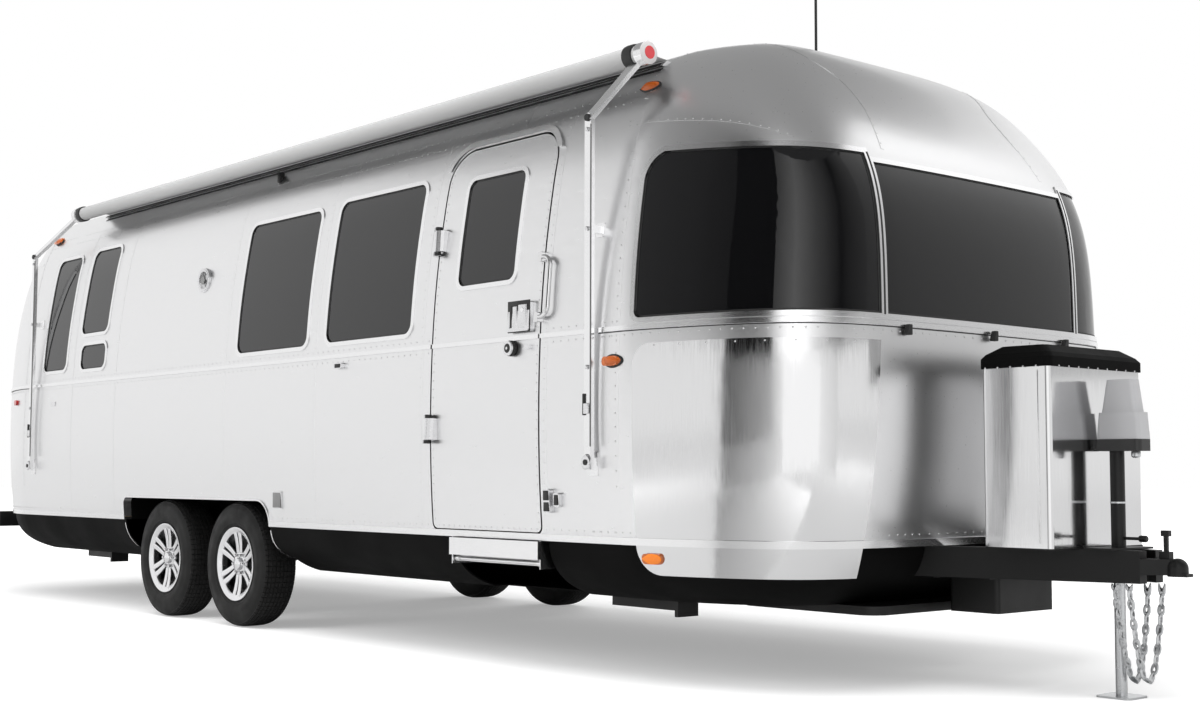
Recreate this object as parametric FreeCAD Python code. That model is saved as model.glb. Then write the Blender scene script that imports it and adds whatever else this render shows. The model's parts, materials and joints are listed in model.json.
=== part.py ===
"""Riveted aluminium travel caravan on two axles, standing on its tongue jack.

Frame: +X forward, +Y to the left, +Z up, millimetres.  The origin is on the ground, on the
centreline, half way between the coupler's tip and the rear bumper.
"""
import FreeCAD, Part
import math
import os

V = FreeCAD.Vector
X_AXIS = V(1, 0, 0)
Y_AXIS = V(0, 1, 0)
Z_AXIS = V(0, 0, 1)

# ---------------------------------------------------------------- driving dimensions
TIP_X = 4520            # coupler's tip
BUMPER_X = -4520        # rear face of the rear bumper
HALF_WIDTH = 1289       # half of the body's width at the belt
ROOF_Z = 2770           # top of the bare roof
WALL = 45               # body wall, skin to lining
CLEAR = 0.3             # seat between pieces that follow a curved face

FRONT_CAP_X = 2740      # where the straight body ends in front
FRONT_LEN = 915         # length of the front end cap
REAR_CAP_X = -3526
REAR_LEN = 930

HEM_Z = 440             # lowest line of the body form, hem of the corner guards
SKIRT_Z = 589           # lower edge of the walls
BELT_Z = 1452           # belt rail
EAVE_Z = 2460           # joint of walls and roof panel

# Control rows of the body's cross section: height, width share, front share, rear share
LOW_Z = 800
MID_Z = 1560
SHOULDER_Z = 2072
HAUNCH_Z = 2470
PROFILE = (
    (HEM_Z, 0.965, 0.900, 0.860),
    (LOW_Z, 1.000, 1.000, 0.975),
    (MID_Z, 1.000, 0.980, 1.000),
    (SHOULDER_Z, 0.943, 0.987, 0.985),
    (HAUNCH_Z, 0.889, 0.668, 0.668),
    (ROOF_Z, 0.690, 0.321, 0.321),
    (ROOF_Z, 0.000, 0.000, 0.000),
)
# Control points of an end cap's plan: share of its length, share of the half width
PLAN = ((0.00, 1.00), (0.12, 1.00), (0.92, 0.90), (1.00, 0.50))

DECK_T = 20             # floor deck, on which the walls stand
BELLY_Z = 330           # underside of the belly pan
BELLY_SKIN = 6
# Control rows of the belly pan's wrap: height, width share, front share, rear share
BELLY_PROFILE = (
    (SKIRT_Z - DECK_T - CLEAR, 0.970, 0.890, 0.860),
    (490, 0.965, 0.880, 0.850),
    (385, 0.935, 0.840, 0.810),
    (BELLY_Z, 0.780, 0.640, 0.640),
)

AXLE_FRONT_X = -556
AXLE_SPACING = 868
TYRE_R = 350
TYRE_WIDTH = 222
TRACK_Y = 1129          # middle of each tread
RIM_R = 190             # bead seat
RIM_HALF = 95           # half of the rim's width
WELL_FRONT_X = -125     # wheel opening in the lower wall and the belly pan
WELL_REAR_X = -1915
WELL_TOP_Z = 706
WELL_FRONT_R = 120      # its upper corners
WELL_REAR_R = 45
FLARE_Z = 505           # below this its front edge runs forward in an arc
FLARE_R = 110
WELL_TRIM = 9           # bright edge round it
WELL_TRIM_Z = 402       # where that edge ends on the belly pan
WELL_INNER_Y = 930      # cabin side of the wheel housing
WELL_ROOF_Z = 775
WELL_SKIN = 4

NOSE_PAN = (2780, 3500, 600, 36)    # pan under the nose: rear, front, half width, depth
LOCKER = (3560, 3800, 195)          # locker under the tongue: rear, front, half width

RAIL_Y = 470            # middle of each main rail
RAIL_W = 50
RAIL_TOP_Z = SKIRT_Z - DECK_T
RAIL_DEPTH = 124
TONGUE_ROOT_X = 3010    # where the two tongue legs leave the main rails

DOOR_X0 = 1414          # hinge edge of the entry door
DOOR_X1 = 2214
DOOR_Z0 = 604
DOOR_Z1 = 2385
DOOR_GAP = 10
DOOR_CORNER = 150
DOOR_LIP = 12           # core of the door stands back from its skin's edge
DOOR_SKIN = 6
DRIP_RISE = 34          # height of the drip moulding over the door, and how far it stands out
DRIP_PROUD = 13
DRIP_Z = 2300           # where it ends on either side of the door
KNOB_Z = 1410
ASSIST_X0 = 2225        # folded assist handle beside the door: its feet, its bar and its ends
ASSIST_X1 = 2286
ASSIST_Z0 = 1535
ASSIST_Z1 = 1800
ASSIST_OFF = 24         # middle of its tube off the wall
ASSIST_BEND = 45
HINGE_ROWS = (1065, 1955)
HINGE_STANDOFF = 27     # the hinge axis leans with the wall, this far outside it at both hinges
HINGE_X = DOOR_X0 + 10
HINGE_HALF = 50         # half height of the leaf on the door; the two wall arms stand beyond it
HINGE_ARM = 16

GLASS_IN = 3            # glass stands this far inside the skin
GLASS_T = 6
FRAME_PROUD = 5
FRAME_LAP = 16          # window frame's width on the skin
FRAME_LIP = 6           # window frame's width on the glass

# Side windows: name, rear edge, front edge, sill, head, corner radius
SIDE_WINDOWS = (
    ("rear_bed", -3215, -2832, 1540, 2321, 60),
    ("bath_high", -2641, -2231, 1764, 2334, 60),
    ("bath_low", -2607, -2228, 1529, 1697, 55),
    ("middle", -491, 268, 1518, 2260, 60),
    ("forward", 450, 1230, 1522, 2275, 60),
)
STREET_WINDOWS = ("rear_bed", "middle", "forward")
DOOR_WINDOW = (1584, 2018, 1717, 2234, 50)

FRONT_SILL_Z = 1484     # the wrap-round front windows
FRONT_HEAD_Z = 2112
WRAP_HEAD_REAR_Z = 2188     # heads of the side panes, at their rear and front edges
WRAP_HEAD_FRONT_Z = 2142
WRAP_HEAD_R = 130
WRAP_SILL_R = 36
FRONT_SPLIT_Y = 668
FRONT_MULLION = 22
WRAP_REAR_X = 2812
REAR_WINDOW = (620, 1500, 2090, 70)     # half width, sill, head, corner radius

HEM_PROUD = 5           # bright strip along the walls' lower edge: how far it stands out
BELT_PROUD = 7          # belt rail: how far it stands out, and its reach below and above the belt
BELT_BELOW = 8
BELT_ABOVE = 12

GUARD_TOP_Z = 1385
GUARD_REAR_X = 2815
GUARD_HEM_Z = 452
GUARD_TOP_Y = 690       # edges beside the front panel, at its top and at the body's hem
GUARD_FOOT_Y = 752
GUARD_T = 3

TRAY_Z = 570
TRAY_T = 5
COVER_X0 = 3830
COVER_X1 = 4139
COVER_HALF = 328
COVER_TOP_Z = 1297
COVER_T = 4
COVER_CORNER = 20
LID_RISE = 66
LID_LAP = 9
LID_SKIRT = 22          # the lid reaches this far below the top of the cover
LID_HINGE_R = 6
BOTTLE_R = 148
BOTTLE_Y = 160

JACK_X = 4225
POST_R = 28
POST_TOP_Z = 950
LEG_R = 22
JACK_FOOT = 150
JACK_PLATE = (60, 150, 8)           # plate over the tongue legs: half length, half width, thickness
HEAD_BASE = (-72, 125, 50, 46)      # base of the jack's head: rear and front of the post, half width, height
# Ends of the two tapering tiers of its housing: rear, front, half width, height above the base
HEAD_TIERS = (
    ((-66, 124, 46, 0), (-56, 116, 44, 104)),
    ((-46, 104, 38, 104), (-26, 88, 32, 232)),
)
HEAD_CORNER = 16

BALL_R = 29.4           # ball of the tow vehicle, 2 5/16 in
BALL_X = TIP_X - 48
BALL_Z = 505            # middle of the ball's seat
BALL_CLEAR = 0.3

LINK_PITCH = 38
LINK_WIRE = 10
LINK_PLAY = 1.0
LINK_WIDTH = 36

ROLLER_R = 42
ROLLER_Y = -1205
ROLLER_Z = 2596
ROLLER_X0 = -2820
ROLLER_X1 = 2790
HUB_LENGTH = 44         # round end fitting of each arm
RAIL_PROUD = 16         # rail on the wall from which the cloth hangs
FLAP_T = 3              # flap of cloth from that rail over the roller, and its gap over the roller
FLAP_LIFT = 1.2
ARM_W = 40
ARM_T = 22
ARM_XS = (-3327, 2580)  # lower feet of the two awning arms
ARM_FOOT_Z = 889
ARM_STAY_Z = 1880       # middle bracket of each arm
ARM_KNEE_Z = 2350       # where each arm bends to the roller

AC_TOP_Z = 2985
AC_XS = (-2430, 395)
AC_LEN = 1000
AC_WIDTH = 700

STEP_X0 = 1590
STEP_X1 = 2210
STEP_Z = 470            # axis on which the entry step folds out
STEP_Y = -1250
STEP_REACH = 250
STEP_T = 28
VALANCE_Z0 = 488        # bright front of the step's frame
VALANCE_Z1 = 566

BUMPER_DEPTH = 80
BUMPER_HALF = 1080
TONGUE_TIP_X = 4362     # front end of the tongue legs
TONGUE_TIP_Y = 58
TUBE = 70               # square torsion tube of an axle
ARM_TRAIL = 150         # the torsion tube lies this far ahead of its spindle
ARM_THICK = 20
SPINDLE_R = 19
DRUM_R = 152
SPOKES = 6
SPOKE_GAP = ((92, -14), (172, -23), (178, 0), (172, 23), (92, 14))   # radius, angle from its middle
HINGE_PIN_R = 6
HINGE_BARREL_R = 15
LID_HINGE_Z = COVER_TOP_Z - LID_SKIRT       # axis of the gas cover's lid
LID_HINGE_X = COVER_X0 - LID_LAP - LID_HINGE_R - 2
LID_HINGE_Y = 180       # middle of each of its two hinges
LID_LUG_HALF = 30
ANTENNA_TOP_Z = 3300
STABILISERS = ((2250, 2700), (-3300, -2850))    # folded stabilising legs, rear and front ends
STABILISER_Y = 860

# Lamps: rear and front edges, lower and upper edges
LAMP_PROUD = 16
WALL_LAMPS = ((2648, 2744, 1302, 1340), (2665, 2765, 2472, 2512), (-3480, -3380, 2472, 2512))
GUARD_LAMP = (2850, 2946, 496, 538)
REAR_MARKER = (-3748, -3678, 1333, 1369)
TAIL_LAMP = (800, 920, 860, 1180)   # edges across the body, lower and upper edges

# Small fittings: discs (x, z, radius, how far out), pads (x0, x1, z0, z1, how far out, corner radius)
RIGHT_DISCS = ((-972, 1984, 73, 12),)           # round vent
RIGHT_PADS = (
    (-61, 29, 669, 759, 8, 6),                  # hatch beside the wheels
    (-3056, -2976, 1305, 1335, 3, 14),          # blank oval plate
    (575, 645, 1387, 1417, 22, 8),              # door catch
    (2266, 2312, 690, 792, 26, 10),             # two outlets beside the door
    (2328, 2366, 716, 776, 18, 10),
)
LEFT_DISCS = ((700, 900, 60, 14),)              # water inlet
LEFT_PADS = (
    (1500, 1830, 700, 1020, 6, 20),             # refrigerator vent
    (-1150, -650, 900, 1240, 8, 20),            # water heater hatch
    (-2300, -2200, 800, 900, 14, 12),           # power inlet
    (-3300, -2650, 700, 1150, 5, 30),           # storage hatch
)

# Furniture: rear, front, edges across the body, height above the floor
SOFA = (2500, 2960, 1000, 420, 2840, 800)       # half width, seat height, front of the back, back height
BED = (-3500, -2000, 900, 520)                  # half width
GALLEY = (WELL_FRONT_X + 15, 1250, 640, 1190, 900)
SINK = (200, 700, 740, 1090, 160)               # depth
WARDROBE = (-1350, -700, 640, 925, 2100 - SKIRT_Z)


# ---------------------------------------------------------------- general helpers
def box(x0, x1, y0, y1, z0, z1):
    return Part.makeBox(x1 - x0, y1 - y0, z1 - z0, V(x0, y0, z0))


def cylinder(radius, start, end):
    axis = end - start
    return Part.makeCylinder(radius, axis.Length, start, axis)


def fuse(shapes):
    first = shapes[0]
    if len(shapes) == 1:
        return first
    return first.multiFuse(shapes[1:]).removeSplitter()


def mirrored(shape):
    return shape.mirror(V(0, 0, 0), Y_AXIS)


def both_sides(shape):
    return [shape, mirrored(shape)]


def save(name, shapes):
    """Write one node; a list becomes a compound of separate solids."""
    if not isinstance(shapes, (list, tuple)):
        shapes = [shapes]
    solids = []
    for shape in shapes:
        solids.extend(shape.Solids)
    body = solids[0] if len(solids) == 1 else Part.makeCompound(solids)
    body.exportStep("parts/%s.step" % name)
    bad = [n for n, s in enumerate(solids) if not s.isValid() or s.Volume <= 0]
    size = body.BoundBox
    print("%-22s %3d solids %9.4f m3  z %5.0f..%5.0f %s" % (
        name, len(solids), sum(s.Volume for s in solids) / 1e9, size.ZMin, size.ZMax,
        "BAD %s" % bad if bad else ""))


def rounded_outline(u0, u1, v0, v1, radii):
    """Points and arcs of a rectangle with corner radii (u0v0, u1v0, u1v1, u0v1)."""
    corners = ((u0, v0, 1, 1), (u1, v0, -1, 1), (u1, v1, -1, -1), (u0, v1, 1, -1))
    turn = 1 - math.sqrt(0.5)
    stops = []
    for index, (u, v, su, sv) in enumerate(corners):
        r = radii[index]
        along_u = (u + su * r, v)
        along_v = (u, v + sv * r)
        middle = (u + su * r * turn, v + sv * r * turn)
        order = (along_v, middle, along_u) if index % 2 == 0 else (along_u, middle, along_v)
        stops.append(order)
    return stops


def outline_face(stops, place):
    """Face from rounded_outline, with place(u, v) giving each point in space."""
    edges = []
    count = len(stops)
    for index, (a, m, b) in enumerate(stops):
        if a != b:
            edges.append(Part.Arc(place(*a), place(*m), place(*b)).toShape())
        following = stops[(index + 1) % count][0]
        edges.append(Part.LineSegment(place(*b), place(*following)).toShape())
    return Part.Face(Part.Wire(edges))


def side_prism(x0, x1, z0, z1, radii, y0=0.0, y1=-HALF_WIDTH - 200):
    """Rounded rectangle seen from the side, run along Y from y0 to y1."""
    if not isinstance(radii, (list, tuple)):
        radii = (radii,) * 4
    face = outline_face(rounded_outline(x0, x1, z0, z1, radii), lambda u, v: V(u, y0, v))
    return face.extrude(V(0, y1 - y0, 0))


def end_prism(half, z0, z1, radius, x0, x1):
    """Rounded rectangle seen from an end, run along X from x0 to x1."""
    face = outline_face(rounded_outline(-half, half, z0, z1, (radius,) * 4), lambda u, v: V(x0, u, v))
    return face.extrude(V(x1 - x0, 0, 0))


def plan_prism(x0, x1, y0, y1, radii, z0, z1):
    """Rounded rectangle seen from above, run along Z from z0 to z1."""
    if not isinstance(radii, (list, tuple)):
        radii = (radii,) * 4
    face = outline_face(rounded_outline(x0, x1, y0, y1, radii), lambda u, v: V(u, v, z0))
    return face.extrude(V(0, 0, z1 - z0))


def turned(profile):
    """Solid of revolution about the Y axis; profile lists (radius, offset along Y) points."""
    points = [V(0, y, r) for r, y in profile]
    wire = Part.makePolygon(points + [points[0]])
    return Part.Face(wire).revolve(V(0, 0, 0), Y_AXIS, 360)


# ---------------------------------------------------------------- body form
def even_knots(count):
    """Knots and multiplicities of a clamped cubic with count control points."""
    spans = count - 3
    knots = [n / spans for n in range(spans + 1)]
    mults = [4] + [1] * (spans - 1) + [4]
    return knots, mults


def form_rows(profile, inset):
    """Rows (height, half width, front length, rear length) of the skin moved in by inset."""
    rows = []
    for height, width, front, rear in profile:
        share = max(0.0, height - MID_Z) / (ROOF_Z - MID_Z)
        rows.append((height - inset * share, (HALF_WIDTH - inset) * width,
                     (FRONT_LEN - inset) * front, (REAR_LEN - inset) * rear))
    return rows


def section_curve(rows, x, side):
    curve = Part.BSplineCurve()
    knots, mults = even_knots(len(rows))
    poles = [V(x, side * row[1], row[0]) for row in rows]
    curve.buildFromPolesMultsKnots(poles, mults, knots, False, 3)
    return curve


def straight_form(profile, inset):
    """Solid of the straight body between the two end caps."""
    rows = form_rows(profile, inset)
    edges = [section_curve(rows, REAR_CAP_X, side).toShape() for side in (-1, 1)]
    bottom = rows[0]
    edges.append(Part.LineSegment(V(REAR_CAP_X, -bottom[1], bottom[0]),
                                  V(REAR_CAP_X, bottom[1], bottom[0])).toShape())
    top = rows[-1]
    if top[1] > 0:
        edges.append(Part.LineSegment(V(REAR_CAP_X, -top[1], top[0]),
                                      V(REAR_CAP_X, top[1], top[0])).toShape())
    wire = Part.Wire(Part.__sortEdges__(edges))
    return Part.Face(wire).extrude(V(FRONT_CAP_X - REAR_CAP_X, 0, 0))


def cap_form(profile, inset, end):
    """Solid of the front (end 1) or rear (end -1) cap."""
    rows = form_rows(profile, inset)
    start_x = FRONT_CAP_X if end > 0 else REAR_CAP_X
    plan = [(a, -b) for a, b in PLAN] + [(a, b) for a, b in reversed(PLAN)]
    poles = []
    for along, across in plan:
        line = []
        for height, width, front, rear in rows:
            length = front if end > 0 else rear
            line.append(V(start_x + end * along * length, across * width, height))
        poles.append(line)
    plan_knots, plan_mults = even_knots(len(plan))
    rise_knots, rise_mults = even_knots(len(rows))
    surface = Part.BSplineSurface()
    surface.buildFromPolesMultsKnots(poles, plan_mults, rise_mults, plan_knots, rise_knots,
                                     False, False, 3, 3)
    skin = surface.toShape()
    right = section_curve(rows, start_x, -1).toShape()
    left = section_curve(rows, start_x, 1).toShape()
    foot = rows[0]
    head = rows[-1]
    foot_line = Part.LineSegment(V(start_x, -foot[1], foot[0]), V(start_x, foot[1], foot[0])).toShape()
    closing = [right, left, foot_line]
    faces = [skin]
    if head[1] > 0:
        head_line = Part.LineSegment(V(start_x, -head[1], head[0]), V(start_x, head[1], head[0])).toShape()
        closing.append(head_line)
        rim = surface.vIso(1).toShape()
        faces.append(Part.Face(Part.Wire(Part.__sortEdges__([rim, head_line]))))
    faces.append(Part.Face(Part.Wire(Part.__sortEdges__(closing))))
    hem = surface.vIso(0).toShape()
    faces.append(Part.Face(Part.Wire(Part.__sortEdges__([hem, foot_line]))))
    sewn = Part.Shell(faces)
    sewn.sewShape()
    sewn = sewn.Shells[0] if sewn.ShapeType != "Shell" else sewn
    solid = Part.Solid(sewn)
    if solid.Volume < 0:
        solid.reverse()
    return solid


def straight_band(outer, inner):
    return straight_form(PROFILE, outer).cut(straight_form(PROFILE, inner))


def cap_band(outer, inner, end):
    return cap_form(PROFILE, outer, end).cut(cap_form(PROFILE, inner, end))


def skin_y(z, inset=0.0):
    """Half width of the straight body at height z."""
    rows = form_rows(PROFILE, inset)
    curve = section_curve(rows, 0, 1)
    low, high = 0.0, 1.0
    for _ in range(40):
        middle = (low + high) / 2
        if curve.value(middle).z < z:
            low = middle
        else:
            high = middle
    return curve.value(low).y


# ---------------------------------------------------------------- chassis
def rail(side):
    """One channel-section main rail, open towards the centreline."""
    x0 = BUMPER_X + BUMPER_DEPTH
    bottom = RAIL_TOP_Z - RAIL_DEPTH
    y0 = RAIL_Y - RAIL_W / 2
    y1 = RAIL_Y + RAIL_W / 2
    full = box(x0, TONGUE_ROOT_X, y0, y1, bottom, RAIL_TOP_Z)
    web = 6
    hollow = box(x0 - 1, TONGUE_ROOT_X + 1, y0 - 1, y1 - web, bottom + web, RAIL_TOP_Z - web)
    channel = full.cut(hollow)
    return channel if side > 0 else mirrored(channel)


def chassis_rails():
    shapes = [rail(-1), rail(1)]
    depth = RAIL_DEPTH - 24
    for x in (-4200, -3000, -2000, -150, 900, 1900, 2900):
        shapes.append(box(x, x + 40, -RAIL_Y + RAIL_W / 2 - 6, RAIL_Y - RAIL_W / 2 + 6,
                          RAIL_TOP_Z - depth, RAIL_TOP_Z))
    save("chassis_rails", fuse(shapes))


def tongue_leg_outline(side, spare):
    """Plan outline of one tongue leg, widened by spare on each flank."""
    half = RAIL_W / 2 + spare
    root = side * RAIL_Y
    tip = side * TONGUE_TIP_Y
    points = [(TONGUE_ROOT_X, root - half), (TONGUE_ROOT_X, root + half),
              (TONGUE_TIP_X, tip + half), (TONGUE_TIP_X, tip - half)]
    corners = [V(x, y, RAIL_TOP_Z - RAIL_DEPTH - spare) for x, y in points]
    wire = Part.makePolygon(corners + [corners[0]])
    return Part.Face(wire).extrude(V(0, 0, RAIL_DEPTH + 2 * spare))


def tongue():
    save("tongue_legs", [tongue_leg_outline(side, 0) for side in (-1, 1)])


def coupler():
    bottom = BALL_Z - 30
    seat_r = BALL_R + BALL_CLEAR
    wall = 9
    bell = cylinder(seat_r + wall, V(BALL_X, 0, bottom), V(BALL_X, 0, BALL_Z))
    dome = Part.makeSphere(seat_r + wall, V(BALL_X, 0, BALL_Z))
    dome = dome.cut(box(BALL_X - 99, BALL_X + 99, -99, 99, BALL_Z - 99, BALL_Z))
    nose = box(BALL_X, TIP_X, -24, 24, bottom, bottom + 12)
    half = TONGUE_TIP_Y + RAIL_W / 2
    throat = 22
    points = [(TONGUE_TIP_X, -half), (TONGUE_TIP_X, half), (BALL_X - 20, throat), (BALL_X - 20, -throat)]
    corners = [V(x, y, bottom + 4) for x, y in points]
    neck = Part.Face(Part.makePolygon(corners + [corners[0]])).extrude(V(0, 0, 60))
    stub = box(BALL_X - 21, BALL_X, -throat, throat, bottom + 4, bottom + 64)
    body = fuse([bell, dome, nose, neck, stub])
    body = body.cut(cylinder(seat_r, V(BALL_X, 0, bottom - 1), V(BALL_X, 0, BALL_Z)))
    body = body.cut(Part.makeSphere(seat_r, V(BALL_X, 0, BALL_Z)))
    latch_x = BALL_X - 42
    base = box(latch_x - 26, latch_x + 16, -16, 16, bottom + 60, bottom + 92)
    lever = box(latch_x - 12, latch_x + 4, -6, 6, bottom + 92, bottom + 150)
    grip = box(latch_x - 20, latch_x + 12, -11, 11, bottom + 150, bottom + 172)
    save("coupler", fuse([body, base, lever, grip]))


def chain_link(centre, along, across):
    """One link: a flat six-cornered loop of wire lying in the plane of along and across."""
    half = (LINK_PITCH + LINK_WIRE + LINK_PLAY) / 2
    wide = (LINK_WIDTH - LINK_WIRE) / 2
    shoulder = half - wide * 0.8
    loop = ((half, 0), (shoulder, wide), (-shoulder, wide),
            (-half, 0), (-shoulder, -wide), (shoulder, -wide))
    points = [centre + along * a + across * b for a, b in loop]
    path = Part.makePolygon(points + [points[0]])
    start = (points[1] + points[2]) * 0.5
    tangent = points[2] - points[1]
    tangent.normalize()
    normal = along.cross(across)
    side = tangent.cross(normal)
    r = LINK_WIRE / 2
    ring = []
    for n in range(6):
        angle = math.radians(60 * n + 30)
        ring.append(start + normal * (r * math.cos(angle)) + side * (r * math.sin(angle)))
    profile = Part.makePolygon(ring + [ring[0]])
    ordered = Part.makePolygon([start] + points[2:] + points[:2] + [start])
    return ordered.makePipeShell([profile], True, False, 1)


def chain_eye(hang, top_z):
    """Bent bar welded under the tongue, through which the chain's end link hangs."""
    r = LINK_WIRE / 2
    half = (LINK_WIDTH - LINK_WIRE) / 2
    low_z = hang.z - (LINK_WIRE + LINK_PLAY) / 2
    corners = [V(hang.x - half, hang.y, top_z), V(hang.x - half, hang.y, low_z),
               V(hang.x + half, hang.y, low_z), V(hang.x + half, hang.y, top_z)]
    ring = []
    for n in range(6):
        angle = math.radians(60 * n)
        ring.append(corners[0] + V(r * math.cos(angle), r * math.sin(angle), 0))
    profile = Part.makePolygon(ring + [ring[0]])
    return Part.makePolygon(corners).makePipeShell([profile], True, False, 1)


def chain_path(start, low, end, count):
    """Points along a hanging chain from start over low to end, a parabola in its own plane."""
    points = []
    for n in range(count + 1):
        t = n / count
        a = (1 - t) * (1 - t)
        b = 2 * t * (1 - t)
        c = t * t
        control = low * 2 - (start + end) * 0.5
        points.append(start * a + control * b + end * c)
    return points


def even_points(points, pitch):
    """Walk along points and give places a pitch apart."""
    result = [points[0]]
    for point in points[1:]:
        while (point - result[-1]).Length >= pitch:
            step = point - result[-1]
            result.append(result[-1] + step * (pitch / step.Length))
    return result


def safety_chains():
    links = []
    eye_z = RAIL_TOP_Z - RAIL_DEPTH
    for offset, eye_x in ((-30, 4262), (34, 4316)):
        start = V(eye_x, -88 + offset * 0.2, eye_z - 24)
        end = V(eye_x + 34, 92 + offset * 0.2, eye_z - 24)
        low = V(eye_x + 24, 0, 62)
        stops = even_points(chain_path(start, low, end, 400), LINK_PITCH)
        for n in range(len(stops) - 1):
            along = stops[n + 1] - stops[n]
            along.normalize()
            across = along.cross(X_AXIS)
            if n % 2:
                across = across.cross(along)
            across.normalize()
            links.append(chain_link((stops[n] + stops[n + 1]) * 0.5, along, across))
        links += [chain_eye(stops[0], eye_z), chain_eye(stops[-1], eye_z)]
    save("safety_chains", links)


def jack():
    bottom = RAIL_TOP_Z - RAIL_DEPTH
    leg_top = bottom + 160
    bore = LEG_R + CLEAR
    post = cylinder(POST_R, V(JACK_X, 0, bottom), V(JACK_X, 0, POST_TOP_Z))
    post = post.cut(cylinder(bore, V(JACK_X, 0, bottom - 1), V(JACK_X, 0, leg_top + CLEAR)))
    half_length, half_width, thick = JACK_PLATE
    plate = box(JACK_X - half_length, JACK_X + half_length, -half_width, half_width,
                RAIL_TOP_Z, RAIL_TOP_Z + thick)
    plate = plate.cut(cylinder(bore, V(JACK_X, 0, 0), V(JACK_X, 0, POST_TOP_Z)))
    save("jack_post", fuse([post, plate]))
    leg = cylinder(LEG_R, V(JACK_X, 0, 6), V(JACK_X, 0, leg_top))
    half = JACK_FOOT / 2
    foot = plan_prism(JACK_X - half, JACK_X + half, -half, half, 24, 0, 8)
    save("jack_leg", fuse([leg, foot]))


def jack_head():
    """Gearbox and motor housing on top of the post."""
    rear, front, half_width, height = HEAD_BASE
    base_top = POST_TOP_Z + height
    shapes = [plan_prism(JACK_X + rear, JACK_X + front, -half_width, half_width, 24, POST_TOP_Z, base_top)]
    for tier in HEAD_TIERS:
        wires = []
        for rear, front, half_width, rise in tier:
            outline = rounded_outline(JACK_X + rear, JACK_X + front, -half_width, half_width,
                                      (HEAD_CORNER,) * 4)
            z = base_top + rise
            wires.append(outline_face(outline, lambda u, v, z=z: V(u, v, z)).OuterWire)
        shapes.append(Part.makeLoft(wires, True, True))
    save("jack_head", fuse(shapes))


def cross_tube(axle_x):
    x = axle_x + ARM_TRAIL
    half = TUBE / 2
    z = RAIL_TOP_Z - RAIL_DEPTH - half
    reach = TRACK_Y - 200
    tube = box(x - half, x + half, -reach, reach, z - half, z + half)
    shapes = [tube]
    for side in (-1, 1):
        y0 = side * reach
        y1 = side * (reach + ARM_THICK)
        low = min(y0, y1)
        eye = cylinder(46, V(x, y0, z), V(x, y1, z))
        hub = cylinder(34, V(axle_x, y0, TYRE_R), V(axle_x, y1, TYRE_R))
        points = [V(x, low, z + 44), V(x, low, z - 44),
                  V(axle_x, low, TYRE_R - 33), V(axle_x, low, TYRE_R + 33)]
        web = Part.Face(Part.makePolygon(points + [points[0]])).extrude(V(0, ARM_THICK, 0))
        spindle = cylinder(SPINDLE_R, V(axle_x, y0, TYRE_R), V(axle_x, side * (TRACK_Y + 20), TYRE_R))
        plate = cylinder(DRUM_R - 4, V(axle_x, y1, TYRE_R), V(axle_x, y1 + side * 6, TYRE_R))
        shapes += [eye, hub, web, spindle, plate]
    return fuse(shapes)


def axles():
    save("axles", [cross_tube(AXLE_FRONT_X), cross_tube(AXLE_FRONT_X - AXLE_SPACING)])


def wheel_solids():
    """Tyre and rim about the Y axis at the origin, outboard side towards -Y."""
    half = TYRE_WIDTH / 2
    bead = RIM_R + CLEAR
    bead_half = RIM_HALF - 14
    lip = RIM_R + 17
    tyre_half = [(bead, bead_half), (lip + 1, bead_half), (lip + 6, RIM_HALF), (TYRE_R - 100, half),
                 (TYRE_R - 50, half - 2), (TYRE_R - 16, half - 18), (TYRE_R, half - 52)]
    profile = tyre_half + [(r, -y) for r, y in reversed(tyre_half)]
    tyre = turned(profile)
    wall = 7
    inner = RIM_R - wall
    edge = bead_half + CLEAR
    barrel = [(RIM_R, -edge), (lip, -edge), (lip, -RIM_HALF - 6), (inner, -RIM_HALF - 6),
              (inner, RIM_HALF + 6), (lip, RIM_HALF + 6), (lip, edge), (RIM_R, edge)]
    rim = turned(barrel)
    face_out = -RIM_HALF + 6
    dish = [(0, face_out + 20), (62, face_out + 20), (74, face_out + 26), (120, face_out + 10),
            (inner + 2, face_out - 2), (inner + 2, face_out + 20), (120, face_out + 34),
            (74, face_out + 52), (0, face_out + 52)]
    disc = turned(dish)
    windows = []
    for n in range(SPOKES):
        centre = math.radians(90 + 360.0 / SPOKES * (n + 0.5))
        points = []
        for radius, angle in SPOKE_GAP:
            theta = centre + math.radians(angle)
            points.append(V(radius * math.cos(theta), -RIM_HALF - 20, radius * math.sin(theta)))
        windows.append(Part.Face(Part.makePolygon(points + [points[0]])).extrude(V(0, 90, 0)))
    disc = disc.cut(windows[0].multiFuse(windows[1:]))
    hub = turned([(SPINDLE_R + 1, face_out + 40), (66, face_out + 40), (66, 20), (DRUM_R, 20),
                  (DRUM_R, 84), (DRUM_R - 12, 84), (DRUM_R - 12, 36), (SPINDLE_R + 1, 36)])
    cap = cylinder(34, V(0, face_out + 22, 0), V(0, face_out - 4, 0))
    rim = fuse([rim, disc, hub, cap])
    rim = rim.cut(cylinder(SPINDLE_R + 1, V(0, face_out + 45, 0), V(0, 200, 0)))
    return tyre, rim


def wheels():
    tyre, rim = wheel_solids()
    for axle_x, place in ((AXLE_FRONT_X, "front"), (AXLE_FRONT_X - AXLE_SPACING, "rear")):
        for side, hand in ((-1, "right"), (1, "left")):
            for name, shape in (("tyre", tyre), ("rim", rim)):
                piece = shape.copy()
                if side > 0:
                    piece = mirrored(piece)
                piece.translate(V(axle_x, side * TRACK_Y, TYRE_R))
                save("%s_%s_%s" % (name, place, hand), piece)


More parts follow.
